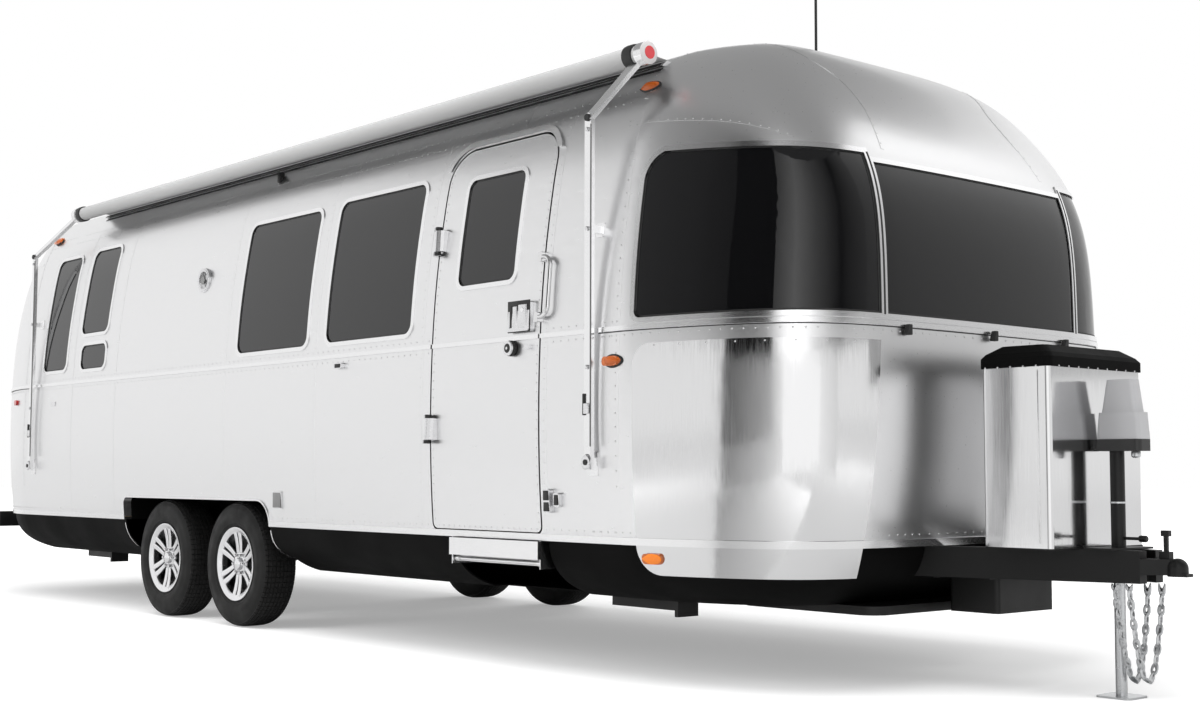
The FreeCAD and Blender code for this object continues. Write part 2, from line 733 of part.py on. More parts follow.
# ---------------------------------------------------------------- body
def well_opening(grow=0.0):
    """Wheel opening seen from the right side, moved outwards by grow, with a flare at its front foot."""
    low = BELLY_Z - 60
    opening = side_prism(WELL_REAR_X - grow, WELL_FRONT_X + grow, low, WELL_TOP_Z + grow,
                         (1, 1, WELL_FRONT_R + grow, WELL_REAR_R + grow))
    centre_x = WELL_FRONT_X + FLARE_R
    reach = FLARE_R - grow
    slant = reach * math.sqrt(0.5)
    arc = Part.Arc(V(centre_x - reach, 0, FLARE_Z), V(centre_x - slant, 0, FLARE_Z - slant),
                   V(centre_x, 0, FLARE_Z - reach)).toShape()
    corners = [V(centre_x, 0, FLARE_Z - reach), V(centre_x, 0, low), V(centre_x - reach, 0, low),
               V(centre_x - reach, 0, FLARE_Z)]
    flare = Part.Face(Part.Wire([arc] + Part.makePolygon(corners).Edges)).extrude(V(0, -HALF_WIDTH - 200, 0))
    return fuse([opening, flare])


def door_outline(grow, y0=0.0, y1=-HALF_WIDTH - 200):
    """Entry door seen from the side, moved outwards by grow all round."""
    low = 30 + grow
    high = DOOR_CORNER + grow
    return side_prism(DOOR_X0 - grow, DOOR_X1 + grow, DOOR_Z0 - grow, DOOR_Z1 + grow,
                      (low, low, high, high), y0, y1)


def window_prism(row, grow):
    x0, x1, z0, z1, radius = row[1:]
    return side_prism(x0 - grow, x1 + grow, z0 - grow, z1 + grow, radius + grow)


def door_window_prism(grow):
    x0, x1, z0, z1, radius = DOOR_WINDOW
    return side_prism(x0 - grow, x1 + grow, z0 - grow, z1 + grow, radius + grow)


def street_rows():
    return [row for row in SIDE_WINDOWS if row[0] in STREET_WINDOWS]


def front_regions(grow):
    """Prisms of the centre and right front windows, moved outwards by grow."""
    z0 = FRONT_SILL_Z - grow
    half = FRONT_SPLIT_Y - FRONT_MULLION / 2 + grow
    centre = box(FRONT_CAP_X, TIP_X, -half, half, z0, FRONT_HEAD_Z + grow)
    edge = FRONT_SPLIT_Y + FRONT_MULLION / 2 - grow
    right = side_prism(WRAP_REAR_X - grow, TIP_X, z0, WRAP_HEAD_REAR_Z + grow,
                       (WRAP_SILL_R + grow, 1, 1, WRAP_HEAD_R + grow), -edge)
    nose_x = FRONT_CAP_X + FRONT_LEN
    fall = (WRAP_HEAD_REAR_Z - WRAP_HEAD_FRONT_Z) / (nose_x - WRAP_REAR_X)
    start_z = WRAP_HEAD_REAR_Z + grow
    tip_z = start_z - fall * (TIP_X - WRAP_REAR_X)
    points = [V(WRAP_REAR_X, 0, start_z), V(TIP_X, 0, tip_z), V(TIP_X, 0, start_z)]
    above_head = Part.Face(Part.makePolygon(points + [points[0]])).extrude(V(0, -HALF_WIDTH - 200, 0))
    return centre, right.cut(above_head)


def drip_moulding():
    """Raised gutter over the door: across its top and round both upper corners."""
    outer = door_outline(DOOR_GAP + DRIP_RISE)
    inner = door_outline(DOOR_GAP + 4)
    ring = outer.cut(inner).common(above(DRIP_Z, ROOF_Z))
    return straight_band(-DRIP_PROUD - CLEAR, -CLEAR).common(ring)


def rear_prism(grow):
    half, z0, z1, radius = REAR_WINDOW
    return end_prism(half + grow, z0 - grow, z1 + grow, radius + grow, BUMPER_X, REAR_CAP_X)


def above(z0, z1):
    return box(BUMPER_X - 99, TIP_X + 99, -1999, 1999, z0, z1)


def walls():
    band = straight_band(0, WALL)
    right = box(REAR_CAP_X - 1, FRONT_CAP_X + 1, -1999, 0, 0, 4000)
    lower = band.common(above(SKIRT_Z, BELT_Z)).common(right).cut(well_opening())
    upper = band.common(above(BELT_Z, EAVE_Z)).common(right)
    aperture = door_outline(DOOR_GAP)
    save("wall_lower_right", lower.cut(aperture))
    save("wall_lower_left", mirrored(lower))
    holes = [window_prism(row, 0) for row in SIDE_WINDOWS]
    save("wall_upper_right", upper.cut([aperture] + holes))
    holes = [window_prism(row, 0) for row in street_rows()]
    save("wall_upper_left", mirrored(upper.cut(holes)))
    save("roof_panel", band.common(above(EAVE_Z, ROOF_Z + 99)))


def end_caps():
    centre, right = front_regions(0)
    band = cap_band(0, WALL, 1)
    save("front_cap_lower", band.common(above(SKIRT_Z, BELT_Z)))
    save("front_cap_upper", band.common(above(BELT_Z, ROOF_Z + 99)).cut([centre, right, mirrored(right)]))
    band = cap_band(0, WALL, -1)
    save("rear_cap_lower", band.common(above(SKIRT_Z, BELT_Z)))
    save("rear_cap_upper", band.common(above(BELT_Z, ROOF_Z + 99)).cut(rear_prism(0)))


def housing_block(side, inset, top):
    """Box over the two wheels of one side, out to the wall's inner face."""
    y0 = WELL_INNER_Y + inset
    y1 = HALF_WIDTH
    bottom = RAIL_TOP_Z - 1 if inset else RAIL_TOP_Z
    block = box(WELL_REAR_X + inset, WELL_FRONT_X - inset, y0, y1, bottom, top)
    return block if side > 0 else mirrored(block)


def wheel_housings():
    shapes = []
    for side in (-1, 1):
        outer = housing_block(side, 0, WELL_ROOF_Z)
        inner = housing_block(side, WELL_SKIN, WELL_ROOF_Z - WELL_SKIN)
        liner = straight_form(PROFILE, WALL + CLEAR)
        shapes.append(outer.cut(inner).common(liner))
    save("wheel_housings", shapes)


def floor_deck():
    layer = above(SKIRT_Z - DECK_T, SKIRT_Z)
    middle = straight_form(PROFILE, 2).common(layer)
    front = cap_form(PROFILE, 2, 1).common(layer)
    rear = cap_form(PROFILE, 2, -1).common(layer)
    deck = fuse([middle, front, rear])
    spare = CLEAR
    for side in (-1, 1):
        hole = box(WELL_REAR_X - spare, WELL_FRONT_X + spare, WELL_INNER_Y - spare, 1999, 0, 999)
        deck = deck.cut(hole if side > 0 else mirrored(hole))
    save("floor_deck", deck)


def belly_pans():
    lift = V(0, 0, BELLY_SKIN)
    shapes = {}
    for end in (1, -1):
        outer = cap_form(BELLY_PROFILE, 0, end)
        inner = cap_form(BELLY_PROFILE, BELLY_SKIN, end)
        inner.translate(lift)
        shapes[end] = outer.cut(inner)
    outer = straight_form(BELLY_PROFILE, 0)
    inner = straight_form(BELLY_PROFILE, BELLY_SKIN)
    inner.translate(lift)
    middle = outer.cut(inner)
    wells = both_sides(well_opening())
    front = middle.common(box(WELL_FRONT_X, TIP_X, -1999, 1999, 0, 999)).cut(wells)
    rear = middle.common(box(BUMPER_X, WELL_REAR_X, -1999, 1999, 0, 999))
    front = fuse([front, shapes[1]])
    rear = fuse([rear, shapes[-1]])
    rails = [tongue_leg_outline(side, 3) for side in (-1, 1)]
    rails += [box(BUMPER_X, TONGUE_ROOT_X, side * RAIL_Y - RAIL_W / 2 - 3, side * RAIL_Y + RAIL_W / 2 + 3,
                  RAIL_TOP_Z - RAIL_DEPTH - 3, RAIL_TOP_Z + 9) for side in (-1, 1)]
    step_bay = box(STEP_X0 - 40, STEP_X1 + 40, -1999, STEP_Y + STEP_REACH + 60, 0, 999)
    save("belly_pan_front", front.cut(rails + [step_bay]))
    save("belly_pan_rear", rear.cut(rails))


def underslung_boxes():
    """Shallow pan under the nose, and a locker on two hangers under the tongue legs."""
    x0, x1, half, depth = NOSE_PAN
    pan = plan_prism(x0, x1, -half, half, (40, 90, 90, 40), BELLY_Z - depth, BELLY_Z)
    x0, x1, half = LOCKER
    bottom = RAIL_TOP_Z - RAIL_DEPTH
    locker = plan_prism(x0, x1, -half, half, 18, BELLY_Z - 30, bottom)
    hangers = [box(x, x + 30, -reach, reach, bottom - 6, bottom)
               for x, reach in ((x0 + 10, 310), (x1 - 36, 240))]
    save("underslung_boxes", [pan, fuse([locker] + hangers)])


def guard_region():
    """Prism that bounds the right corner guard, seen from the side and from the front."""
    side = side_prism(GUARD_REAR_X, TIP_X, GUARD_HEM_Z, GUARD_TOP_Z, (120, 1, 1, 90))
    high = GUARD_TOP_Z + 9
    points = [(-GUARD_TOP_Y, high), (-GUARD_FOOT_Y, HEM_Z), (-1999, HEM_Z), (-1999, high)]
    corners = [V(FRONT_CAP_X, y, z) for y, z in points]
    front = Part.Face(Part.makePolygon(corners + [corners[0]])).extrude(V(1999, 0, 0))
    return side.common(front)


def corner_guards():
    band = cap_band(-GUARD_T - CLEAR, -CLEAR, 1)
    save("corner_guards", both_sides(band.common(guard_region())))


def rail_ring(proud, z0, z1):
    """Raised strip that follows the whole body between two heights."""
    layer = above(z0, z1)
    pieces = [straight_band(-proud - CLEAR, -CLEAR).common(layer)]
    for end in (1, -1):
        pieces.append(cap_band(-proud - CLEAR, -CLEAR, end).common(layer))
    straight = pieces[0].Solids
    return straight, pieces[1], pieces[2]


def front_hem():
    """Bright strip along the lower edge of the front, in front of the two guards."""
    proud = GUARD_T + HEM_PROUD + 2 * CLEAR
    strip = cap_band(-proud, -CLEAR, 1).common(above(RAIL_TOP_Z + CLEAR, SKIRT_Z + 10))
    return strip.cut(cap_form(PROFILE, -GUARD_T - 2 * CLEAR, 1).common(fuse(both_sides(guard_region()))))


def body_trim():
    solids = []
    straight, front, rear = rail_ring(BELT_PROUD, BELT_Z - BELT_BELOW, BELT_Z + BELT_ABOVE)
    ring = fuse(list(straight) + [front, rear])
    solids.append(ring.cut(door_outline(DOOR_GAP)))
    straight, front, rear = rail_ring(HEM_PROUD, RAIL_TOP_Z + CLEAR, SKIRT_Z + 10)
    hem = fuse(list(straight) + [rear])
    hem = hem.cut(both_sides(well_opening(WELL_TRIM)))
    solids.append(hem)
    edge = well_opening(WELL_TRIM).cut(well_opening())
    wall_edge = edge.common(above(RAIL_TOP_Z + CLEAR, EAVE_Z))
    on_wall = straight_band(-HEM_PROUD - CLEAR, -CLEAR).common(wall_edge)
    on_pan = straight_form(BELLY_PROFILE, -HEM_PROUD).cut(straight_form(BELLY_PROFILE, -CLEAR))
    on_pan = on_pan.common(edge.common(above(WELL_TRIM_Z, RAIL_TOP_Z - DECK_T)))
    solids += both_sides(on_wall) + both_sides(on_pan)
    solids += [front_hem(), drip_moulding()]
    save("body_trim", solids)


def glazing():
    straight = straight_band(GLASS_IN, GLASS_IN + GLASS_T)
    trim = straight_band(-FRAME_PROUD - CLEAR, -CLEAR)
    right_glass = [straight.common(window_prism(row, -CLEAR)) for row in SIDE_WINDOWS]
    left_glass = [mirrored(straight.common(window_prism(row, -CLEAR))) for row in street_rows()]
    frames = {row[0]: trim.common(window_prism(row, FRAME_LAP).cut(window_prism(row, -FRAME_LIP)))
              for row in SIDE_WINDOWS}
    side_trim = list(frames.values()) + [mirrored(frames[name]) for name in STREET_WINDOWS]
    front = cap_band(GLASS_IN, GLASS_IN + GLASS_T, 1)
    centre, right = front_regions(-CLEAR)
    pane = front.common(right)
    save("front_glass", [front.common(centre), pane, mirrored(pane)])
    trim = cap_band(-FRAME_PROUD - CLEAR, -CLEAR, 1)
    outer = front_regions(FRAME_LAP)
    inner = front_regions(-FRAME_LIP)
    whole = outer[0].multiFuse([outer[1], mirrored(outer[1])])
    front_trim = trim.common(whole).cut([inner[0], inner[1], mirrored(inner[1])])
    rear = cap_band(GLASS_IN, GLASS_IN + GLASS_T, -1)
    save("cabin_glass", right_glass + left_glass + [rear.common(rear_prism(-CLEAR))])
    trim = cap_band(-FRAME_PROUD - CLEAR, -CLEAR, -1)
    rear_trim = trim.common(rear_prism(FRAME_LAP).cut(rear_prism(-FRAME_LIP)))
    save("window_frames", side_trim + [front_trim, rear_trim])


# ---------------------------------------------------------------- entry door
def door():
    slab = straight_band(0, WALL).common(door_outline(0))
    rim = door_outline(DOOR_GAP).cut(door_outline(-DOOR_LIP))
    rebate = straight_band(DOOR_SKIN, WALL + DOOR_SKIN).common(rim)
    save("door_panel", slab.cut([rebate, door_window_prism(0)]))
    save("door_glass", straight_band(GLASS_IN, GLASS_IN + GLASS_T).common(door_window_prism(-CLEAR)))
    trim = straight_band(-FRAME_PROUD - CLEAR, -CLEAR)
    frame = trim.common(door_window_prism(FRAME_LAP).cut(door_window_prism(-FRAME_LIP)))
    belt = straight_band(-BELT_PROUD - CLEAR, -CLEAR).common(above(BELT_Z - BELT_BELOW, BELT_Z + BELT_ABOVE))
    belt = belt.common(box(DOOR_X0 + 2, DOOR_X1 - 2, -1999, 0, 0, 4000))
    save("door_trim", [frame, belt])


def skin_pad(x0, x1, z0, z1, thick, radius=6, standing=0.0):
    """Plate of even thickness seated on the right wall, standing off by standing."""
    band = straight_band(-thick - CLEAR - standing, -CLEAR - standing)
    return band.common(side_prism(x0, x1, z0, z1, radius))


def hinges():
    """Wall brackets with their pins, and the leaves on the door, all about one leaning axis."""
    low, high = (V(HINGE_X, -skin_y(z) - HINGE_STANDOFF, z) for z in HINGE_ROWS)
    axis = (high - low).normalize()
    inward = axis.cross(X_AXIS)
    wall_face = straight_form(PROFILE, -CLEAR)
    spare = 1

    def barrel(middle, radius, start, end):
        return cylinder(radius, middle + axis * start, middle + axis * end)

    def block(middle, outline, start, end):
        corners = [middle + X_AXIS * along + inward * across + axis * start for along, across in outline]
        return Part.Face(Part.makePolygon(corners + [corners[0]])).extrude(axis * (end - start))

    r = HINGE_BARREL_R
    arm = ((0, -r), (-38, 0), (-48, 12), (-48, 34), (-24, 34), (-22, r - 1), (0, r - 1))
    leaf = ((0, -r), (26, -6), (36, 6), (38, 34), (9, 34), (6, r - 1), (0, r - 1))
    fixed = []
    moving = []
    for middle in (low, high):
        inner = HINGE_HALF + spare
        outer = inner + HINGE_ARM
        shapes = [barrel(middle, HINGE_PIN_R, -outer, outer)]
        for start, end in ((-outer, -inner), (inner, outer)):
            shapes += [barrel(middle, r, start, end), block(middle, arm, start, end)]
        shapes.append(skin_pad(HINGE_X - 48, HINGE_X - 24, middle.z - outer, middle.z + outer, 4))
        fixed.append(fuse(shapes).cut(wall_face))
        knuckle = fuse([barrel(middle, r, -HINGE_HALF, HINGE_HALF),
                        block(middle, leaf, -HINGE_HALF, HINGE_HALF)])
        bore = barrel(middle, HINGE_PIN_R + CLEAR, -outer, outer)
        moving.append(knuckle.cut([bore, wall_face]))
    return fixed, moving


def door_hardware(leaves):
    lock = skin_pad(DOOR_X1 - 202, DOOR_X1 - 52, 1482, 1614, 22, 10)
    hollow = side_prism(DOOR_X1 - 192, DOOR_X1 - 142, 1498, 1598, 8, -HALF_WIDTH - 6)
    knob_x = DOOR_X1 - 184
    y = -skin_y(KNOB_Z)
    stem = cylinder(14, V(knob_x, y, KNOB_Z), V(knob_x, y - 14, KNOB_Z))
    knob = cylinder(32, V(knob_x, y - 14, KNOB_Z), V(knob_x, y - 34, KNOB_Z))
    handle = fuse([stem, knob]).cut(straight_form(PROFILE, -CLEAR))
    catch = skin_pad(DOOR_X1 - 86, DOOR_X1 - 48, KNOB_Z - 9, KNOB_Z + 9, 16, 3)
    save("door_hardware", leaves + [lock.cut(hollow), handle, catch])


def assist_handle():
    """U-shaped tube folded flat along the wall, on two foot blocks."""
    foot = V(ASSIST_X0, -skin_y(ASSIST_Z0) - ASSIST_OFF, ASSIST_Z0)
    head = V(ASSIST_X0, -skin_y(ASSIST_Z1) - ASSIST_OFF, ASSIST_Z1)
    up = (head - foot).normalize()
    length = (head - foot).Length
    reach = ASSIST_X1 - ASSIST_X0
    bend = ASSIST_BEND
    turn = bend * (1 - math.sqrt(0.5))

    def place(along, rise):
        return foot + X_AXIS * along + up * rise

    low_arc = Part.Arc(place(reach - bend, 0), place(reach - turn, turn), place(reach, bend))
    high_arc = Part.Arc(place(reach, length - bend), place(reach - turn, length - turn),
                        place(reach - bend, length))
    path = Part.Wire([
        Part.LineSegment(place(0, 0), place(reach - bend, 0)).toShape(), low_arc.toShape(),
        Part.LineSegment(place(reach, bend), place(reach, length - bend)).toShape(), high_arc.toShape(),
        Part.LineSegment(place(reach - bend, length), place(0, length)).toShape()])
    ring = Part.Wire(Part.makeCircle(10, foot, X_AXIS))
    tube = path.makePipeShell([ring], True, False)
    blocks = [skin_pad(ASSIST_X0 - 12, ASSIST_X0 + 12, z - 22, z + 22, ASSIST_OFF + 12, 5)
              for z in (ASSIST_Z0, ASSIST_Z1)]
    save("assist_handle", fuse([tube] + blocks).cut(straight_form(PROFILE, -CLEAR)))


# ---------------------------------------------------------------- gas bottles
def gas_locker():
    half = COVER_HALF
    lap = COVER_T
    base = TRAY_Z + TRAY_T
    save("gas_tray", plan_prism(COVER_X0 - lap, COVER_X1 + lap, -half - lap, half + lap, COVER_CORNER + lap,
                                RAIL_TOP_Z, base))
    outer = plan_prism(COVER_X0, COVER_X1, -half, half, COVER_CORNER, base, COVER_TOP_Z)
    inner = plan_prism(COVER_X0 + COVER_T, COVER_X1 - COVER_T, -half + COVER_T, half - COVER_T,
                       COVER_CORNER - COVER_T, TRAY_Z, COVER_TOP_Z + 9)
    save("gas_cover", fuse([outer.cut(inner)] + lid_brackets()))
    bottles = []
    middle = (COVER_X0 + COVER_X1) / 2
    r = BOTTLE_R
    profile = ((0, 0), (r * 0.75, 0), (r * 0.75, 22), (r - 22, 30), (r, 75), (r, 430),
               (r - 30, 488), (40, 505), (24, 548), (0, 548))
    for side in (-1, 1):
        centre = V(middle, side * BOTTLE_Y, base)
        points = [centre + V(radius, 0, rise) for radius, rise in profile]
        shape = Part.Face(Part.makePolygon(points + [points[0]])).revolve(centre, Z_AXIS, 360)
        bottles.append(shape)
    save("gas_bottles", bottles)


def gas_lid():
    """Crowned plastic lid whose rim laps outside the cover; it turns up about its rear edge."""
    lap = LID_LAP
    x0 = COVER_X0 - lap
    x1 = COVER_X1 + lap
    half = COVER_HALF + lap
    z0 = COVER_TOP_Z - LID_SKIRT
    rim = plan_prism(x0, x1, -half, half, COVER_CORNER + lap, z0, COVER_TOP_Z + 16)
    steps = []
    for drop, z in ((0, COVER_TOP_Z + 16), (14, COVER_TOP_Z + 34), (60, COVER_TOP_Z + LID_RISE)):
        face = outline_face(rounded_outline(x0 + drop, x1 - drop, -half + drop, half - drop,
                                            (COVER_CORNER + lap,) * 4), lambda u, v, z=z: V(u, v, z))
        steps.append(face.OuterWire)
    crown = Part.makeLoft(steps, True, True)
    gap = lap - 3
    hollow = plan_prism(x0 + lap - gap, x1 - lap + gap, -half + lap - gap, half - lap + gap,
                        COVER_CORNER + gap, z0 - 1, COVER_TOP_Z + CLEAR)
    lid = fuse([rim, crown]).cut(hollow)
    pieces = [lid]
    for side in (-1, 1):
        y0 = side * LID_HINGE_Y - LID_LUG_HALF
        y1 = side * LID_HINGE_Y + LID_LUG_HALF
        lug = cylinder(LID_HINGE_R + 4, V(LID_HINGE_X, y0, LID_HINGE_Z), V(LID_HINGE_X, y1, LID_HINGE_Z))
        web = box(LID_HINGE_X, x0 + 3, y0, y1, LID_HINGE_Z, LID_HINGE_Z + 10)
        bore = cylinder(LID_HINGE_R + CLEAR, V(LID_HINGE_X, y0 - 1, LID_HINGE_Z),
                        V(LID_HINGE_X, y1 + 1, LID_HINGE_Z))
        pieces.append(fuse([lug, web]).cut(bore))
    save("gas_lid", fuse(pieces))


def lid_brackets():
    """Two pins on cheeks behind the cover, about which the lid's lugs turn."""
    brackets = []
    eye = LID_HINGE_R + 1.5
    start = LID_LUG_HALF + 6
    end = start + 6
    low = LID_HINGE_Z - 60
    for side in (-1, 1):
        y = side * LID_HINGE_Y
        shapes = [cylinder(LID_HINGE_R, V(LID_HINGE_X, y - end, LID_HINGE_Z),
                           V(LID_HINGE_X, y + end, LID_HINGE_Z))]
        for y0, y1 in ((y - end, y - start), (y + start, y + end)):
            shapes.append(box(LID_HINGE_X - eye, COVER_X0, y0, y1, low, LID_HINGE_Z - 3))
            shapes.append(cylinder(eye, V(LID_HINGE_X, y0, LID_HINGE_Z), V(LID_HINGE_X, y1, LID_HINGE_Z)))
        shapes.append(box(COVER_X0 - 4, COVER_X0, y - end, y + end, low, low + 24))
        brackets.append(fuse(shapes))
    return brackets


# ---------------------------------------------------------------- awning
def flat_bar(start, end, width, thick, flat):
    """Rectangular bar from start to end, its width along flat."""
    along = end - start
    length = along.Length
    along.normalize()
    flat = flat - along * flat.dot(along)
    flat.normalize()
    third = along.cross(flat)
    corners = []
    for a, b in ((-1, -1), (1, -1), (1, 1), (-1, 1)):
        corners.append(start + flat * (a * width / 2) + third * (b * thick / 2))
    return Part.Face(Part.makePolygon(corners + [corners[0]])).extrude(along * length)


def awning_case():
    """Roller with the rolled cloth, the wall rail and the flap of cloth between them."""
    start = V(ROLLER_X0, ROLLER_Y, ROLLER_Z)
    save("awning_roller", cylinder(ROLLER_R, start, V(ROLLER_X1, ROLLER_Y, ROLLER_Z)))
    rail = straight_band(-RAIL_PROUD - CLEAR, -CLEAR)
    rail = rail.common(box(ROLLER_X0, FRONT_CAP_X, -1999, 0, ROLLER_Z - 8, ROLLER_Z + 16))
    wall_y = -skin_y(ROLLER_Z) - 6
    top = ROLLER_Z + ROLLER_R + FLAP_LIFT
    inner = ROLLER_Z + 17
    points = [(wall_y, inner + FLAP_T), (ROLLER_Y, top + FLAP_T), (ROLLER_Y, top), (wall_y, inner)]
    corners = [V(ROLLER_X0 + 20, y, z) for y, z in points]
    length = FRONT_CAP_X - 20 - ROLLER_X0
    flap = Part.Face(Part.makePolygon(corners + [corners[0]])).extrude(V(length, 0, 0))
    save("awning_flap", flap)
    return rail


def arm_clip(x, z, half_width, half_length, y):
    """Pad seated on the wall with a block out to the arm at y."""
    pad = skin_pad(x - half_width, x + half_width, z - half_length, z + half_length, 4)
    half = half_width / 2
    block = box(x - half, x + half, y, -skin_y(z) - 1, z - half_length / 2, z + half_length / 2)
    return [pad, block]


def awning_arms(rail):
    """Two folded arms from the lower feet, over the middle brackets and knees, to the roller's ends."""
    swept = cylinder(ROLLER_R + CLEAR, V(ROLLER_X0 - CLEAR, ROLLER_Y, ROLLER_Z),
                     V(ROLLER_X1 + CLEAR, ROLLER_Y, ROLLER_Z))
    wall_face = straight_form(PROFILE, -CLEAR)
    y = -HALF_WIDTH - 6 - ARM_T / 2
    arms = []
    for foot_x, end_x, outward in ((ARM_XS[0], ROLLER_X0, -1), (ARM_XS[1], ROLLER_X1, 1)):
        low = V(foot_x, y, ARM_FOOT_Z)
        knee = V(foot_x, y, ARM_KNEE_Z)
        head = V(end_x + outward * HUB_LENGTH / 2, ROLLER_Y, ROLLER_Z)
        hub_start = V(end_x + outward * CLEAR, ROLLER_Y, ROLLER_Z)
        hub_end = V(end_x + outward * HUB_LENGTH, ROLLER_Y, ROLLER_Z)
        half = V(0, ARM_T / 2, 0)
        shapes = [flat_bar(low, knee, ARM_W, ARM_T, X_AXIS), flat_bar(knee, head, ARM_W, ARM_T, X_AXIS),
                  cylinder(ARM_W / 2, knee - half, knee + half),
                  cylinder(ROLLER_R + 6, hub_start, hub_end)]
        shapes += arm_clip(foot_x, ARM_FOOT_Z + 10, 30, 50, y)
        shapes += arm_clip(foot_x, ARM_STAY_Z, 24, 30, y)
        arms.append(fuse(shapes).cut([swept, wall_face]))
    save("awning_arms", arms + [rail])


# ---------------------------------------------------------------- roof equipment
def air_conditioners():
    shrouds = []
    seat = straight_form(PROFILE, -CLEAR)
    for x in AC_XS:
        sections = []
        for drop, z, radius in ((0, ROOF_Z - 40, 60), (0, AC_TOP_Z - 120, 60),
                                (45, AC_TOP_Z - 36, 70), (120, AC_TOP_Z, 80)):
            face = outline_face(rounded_outline(x - AC_LEN / 2 + drop, x + AC_LEN / 2 - drop * 0.7,
                                                -AC_WIDTH / 2 + drop, AC_WIDTH / 2 - drop, (radius,) * 4),
                                lambda u, v, z=z: V(u, v, z))
            sections.append(face.OuterWire)
        shrouds.append(Part.makeLoft(sections, True, True).cut(seat))
    return shrouds


def roof_fittings():
    seat = straight_form(PROFILE, -CLEAR)
    pieces = []
    for x in (-1380, 1750):
        curb = plan_prism(x - 200, x + 200, -200, 200, 30, ROOF_Z - 60, ROOF_Z + 30)
        lid = plan_prism(x - 215, x + 215, -215, 215, 45, ROOF_Z + 30, ROOF_Z + 62)
        pieces.append(fuse([curb, lid]).cut(seat))
    whip_x = 2690
    base = cylinder(24, V(whip_x, 0, ROOF_Z - 10), V(whip_x, 0, ROOF_Z + 34))
    whip = cylinder(3.5, V(whip_x, 0, ROOF_Z + 34), V(whip_x, 0, ANTENNA_TOP_Z))
    pieces.append(fuse([base, whip]).cut(seat))
    save("roof_equipment", air_conditioners() + pieces)


# ---------------------------------------------------------------- lamps and fittings
def lamps():
    shapes = []
    band = straight_band(-LAMP_PROUD - CLEAR, -CLEAR)
    for x0, x1, z0, z1 in WALL_LAMPS:
        shapes += both_sides(band.common(side_prism(x0, x1, z0, z1, 16)))
    on_guard = -GUARD_T - 2 * CLEAR
    x0, x1, z0, z1 = GUARD_LAMP
    lamp = cap_band(on_guard - 12, on_guard, 1).common(side_prism(x0, x1, z0, z1, 18))
    shapes += both_sides(lamp)
    x0, x1, z0, z1 = REAR_MARKER
    shapes += both_sides(cap_band(-14 - CLEAR, -CLEAR, -1).common(side_prism(x0, x1, z0, z1, 15)))
    rear = cap_band(-LAMP_PROUD - CLEAR, -CLEAR, -1)
    y0, y1, z0, z1 = TAIL_LAMP
    face = outline_face(rounded_outline(y0, y1, z0, z1, (55,) * 4), lambda u, v: V(BUMPER_X, u, v))
    shapes += both_sides(rear.common(face.extrude(V(REAR_CAP_X - BUMPER_X, 0, 0))))
    save("lamps", shapes)


def disc_on_wall(x, z, radius, thick):
    y = -skin_y(z) + 2
    disc = cylinder(radius, V(x, y, z), V(x, y - thick - 4, z))
    return disc.cut(straight_form(PROFILE, -CLEAR))


def side_fittings():
    right = [disc_on_wall(*row) for row in RIGHT_DISCS] + [skin_pad(*row) for row in RIGHT_PADS]
    left = [disc_on_wall(*row) for row in LEFT_DISCS] + [skin_pad(*row) for row in LEFT_PADS]
    save("side_fittings", right + [mirrored(piece) for piece in left])


def rear_bumper():
    top = RAIL_TOP_Z
    bar = box(BUMPER_X, BUMPER_X + BUMPER_DEPTH, -BUMPER_HALF, BUMPER_HALF, top - 110, top)
    hollow = box(BUMPER_X + 5, BUMPER_X + BUMPER_DEPTH - 5, -BUMPER_HALF - 1, BUMPER_HALF + 1,
                 top - 105, top - 5)
    save("rear_bumper", bar.cut(hollow))


def corner_jacks():
    """Four folded stabilising legs under the belly pan, each with its foot plate and hanger."""
    seat = straight_form(BELLY_PROFILE, 0)
    pieces = []
    for x0, x1 in STABILISERS:
        for y in (-STABILISER_Y, STABILISER_Y):
            leg = box(x0, x1, y - 24, y + 24, BELLY_Z - 52, BELLY_Z - 12)
            foot = box(x1 - 12, x1 + 8, y - 60, y + 60, BELLY_Z - 75, BELLY_Z - 6)
            hanger = box(x0, x0 + 60, y - 40, y + 40, BELLY_Z - 12, BELLY_Z + 4)
            pieces.append(fuse([leg, foot, hanger]).cut(seat))
    save("corner_jacks", pieces)


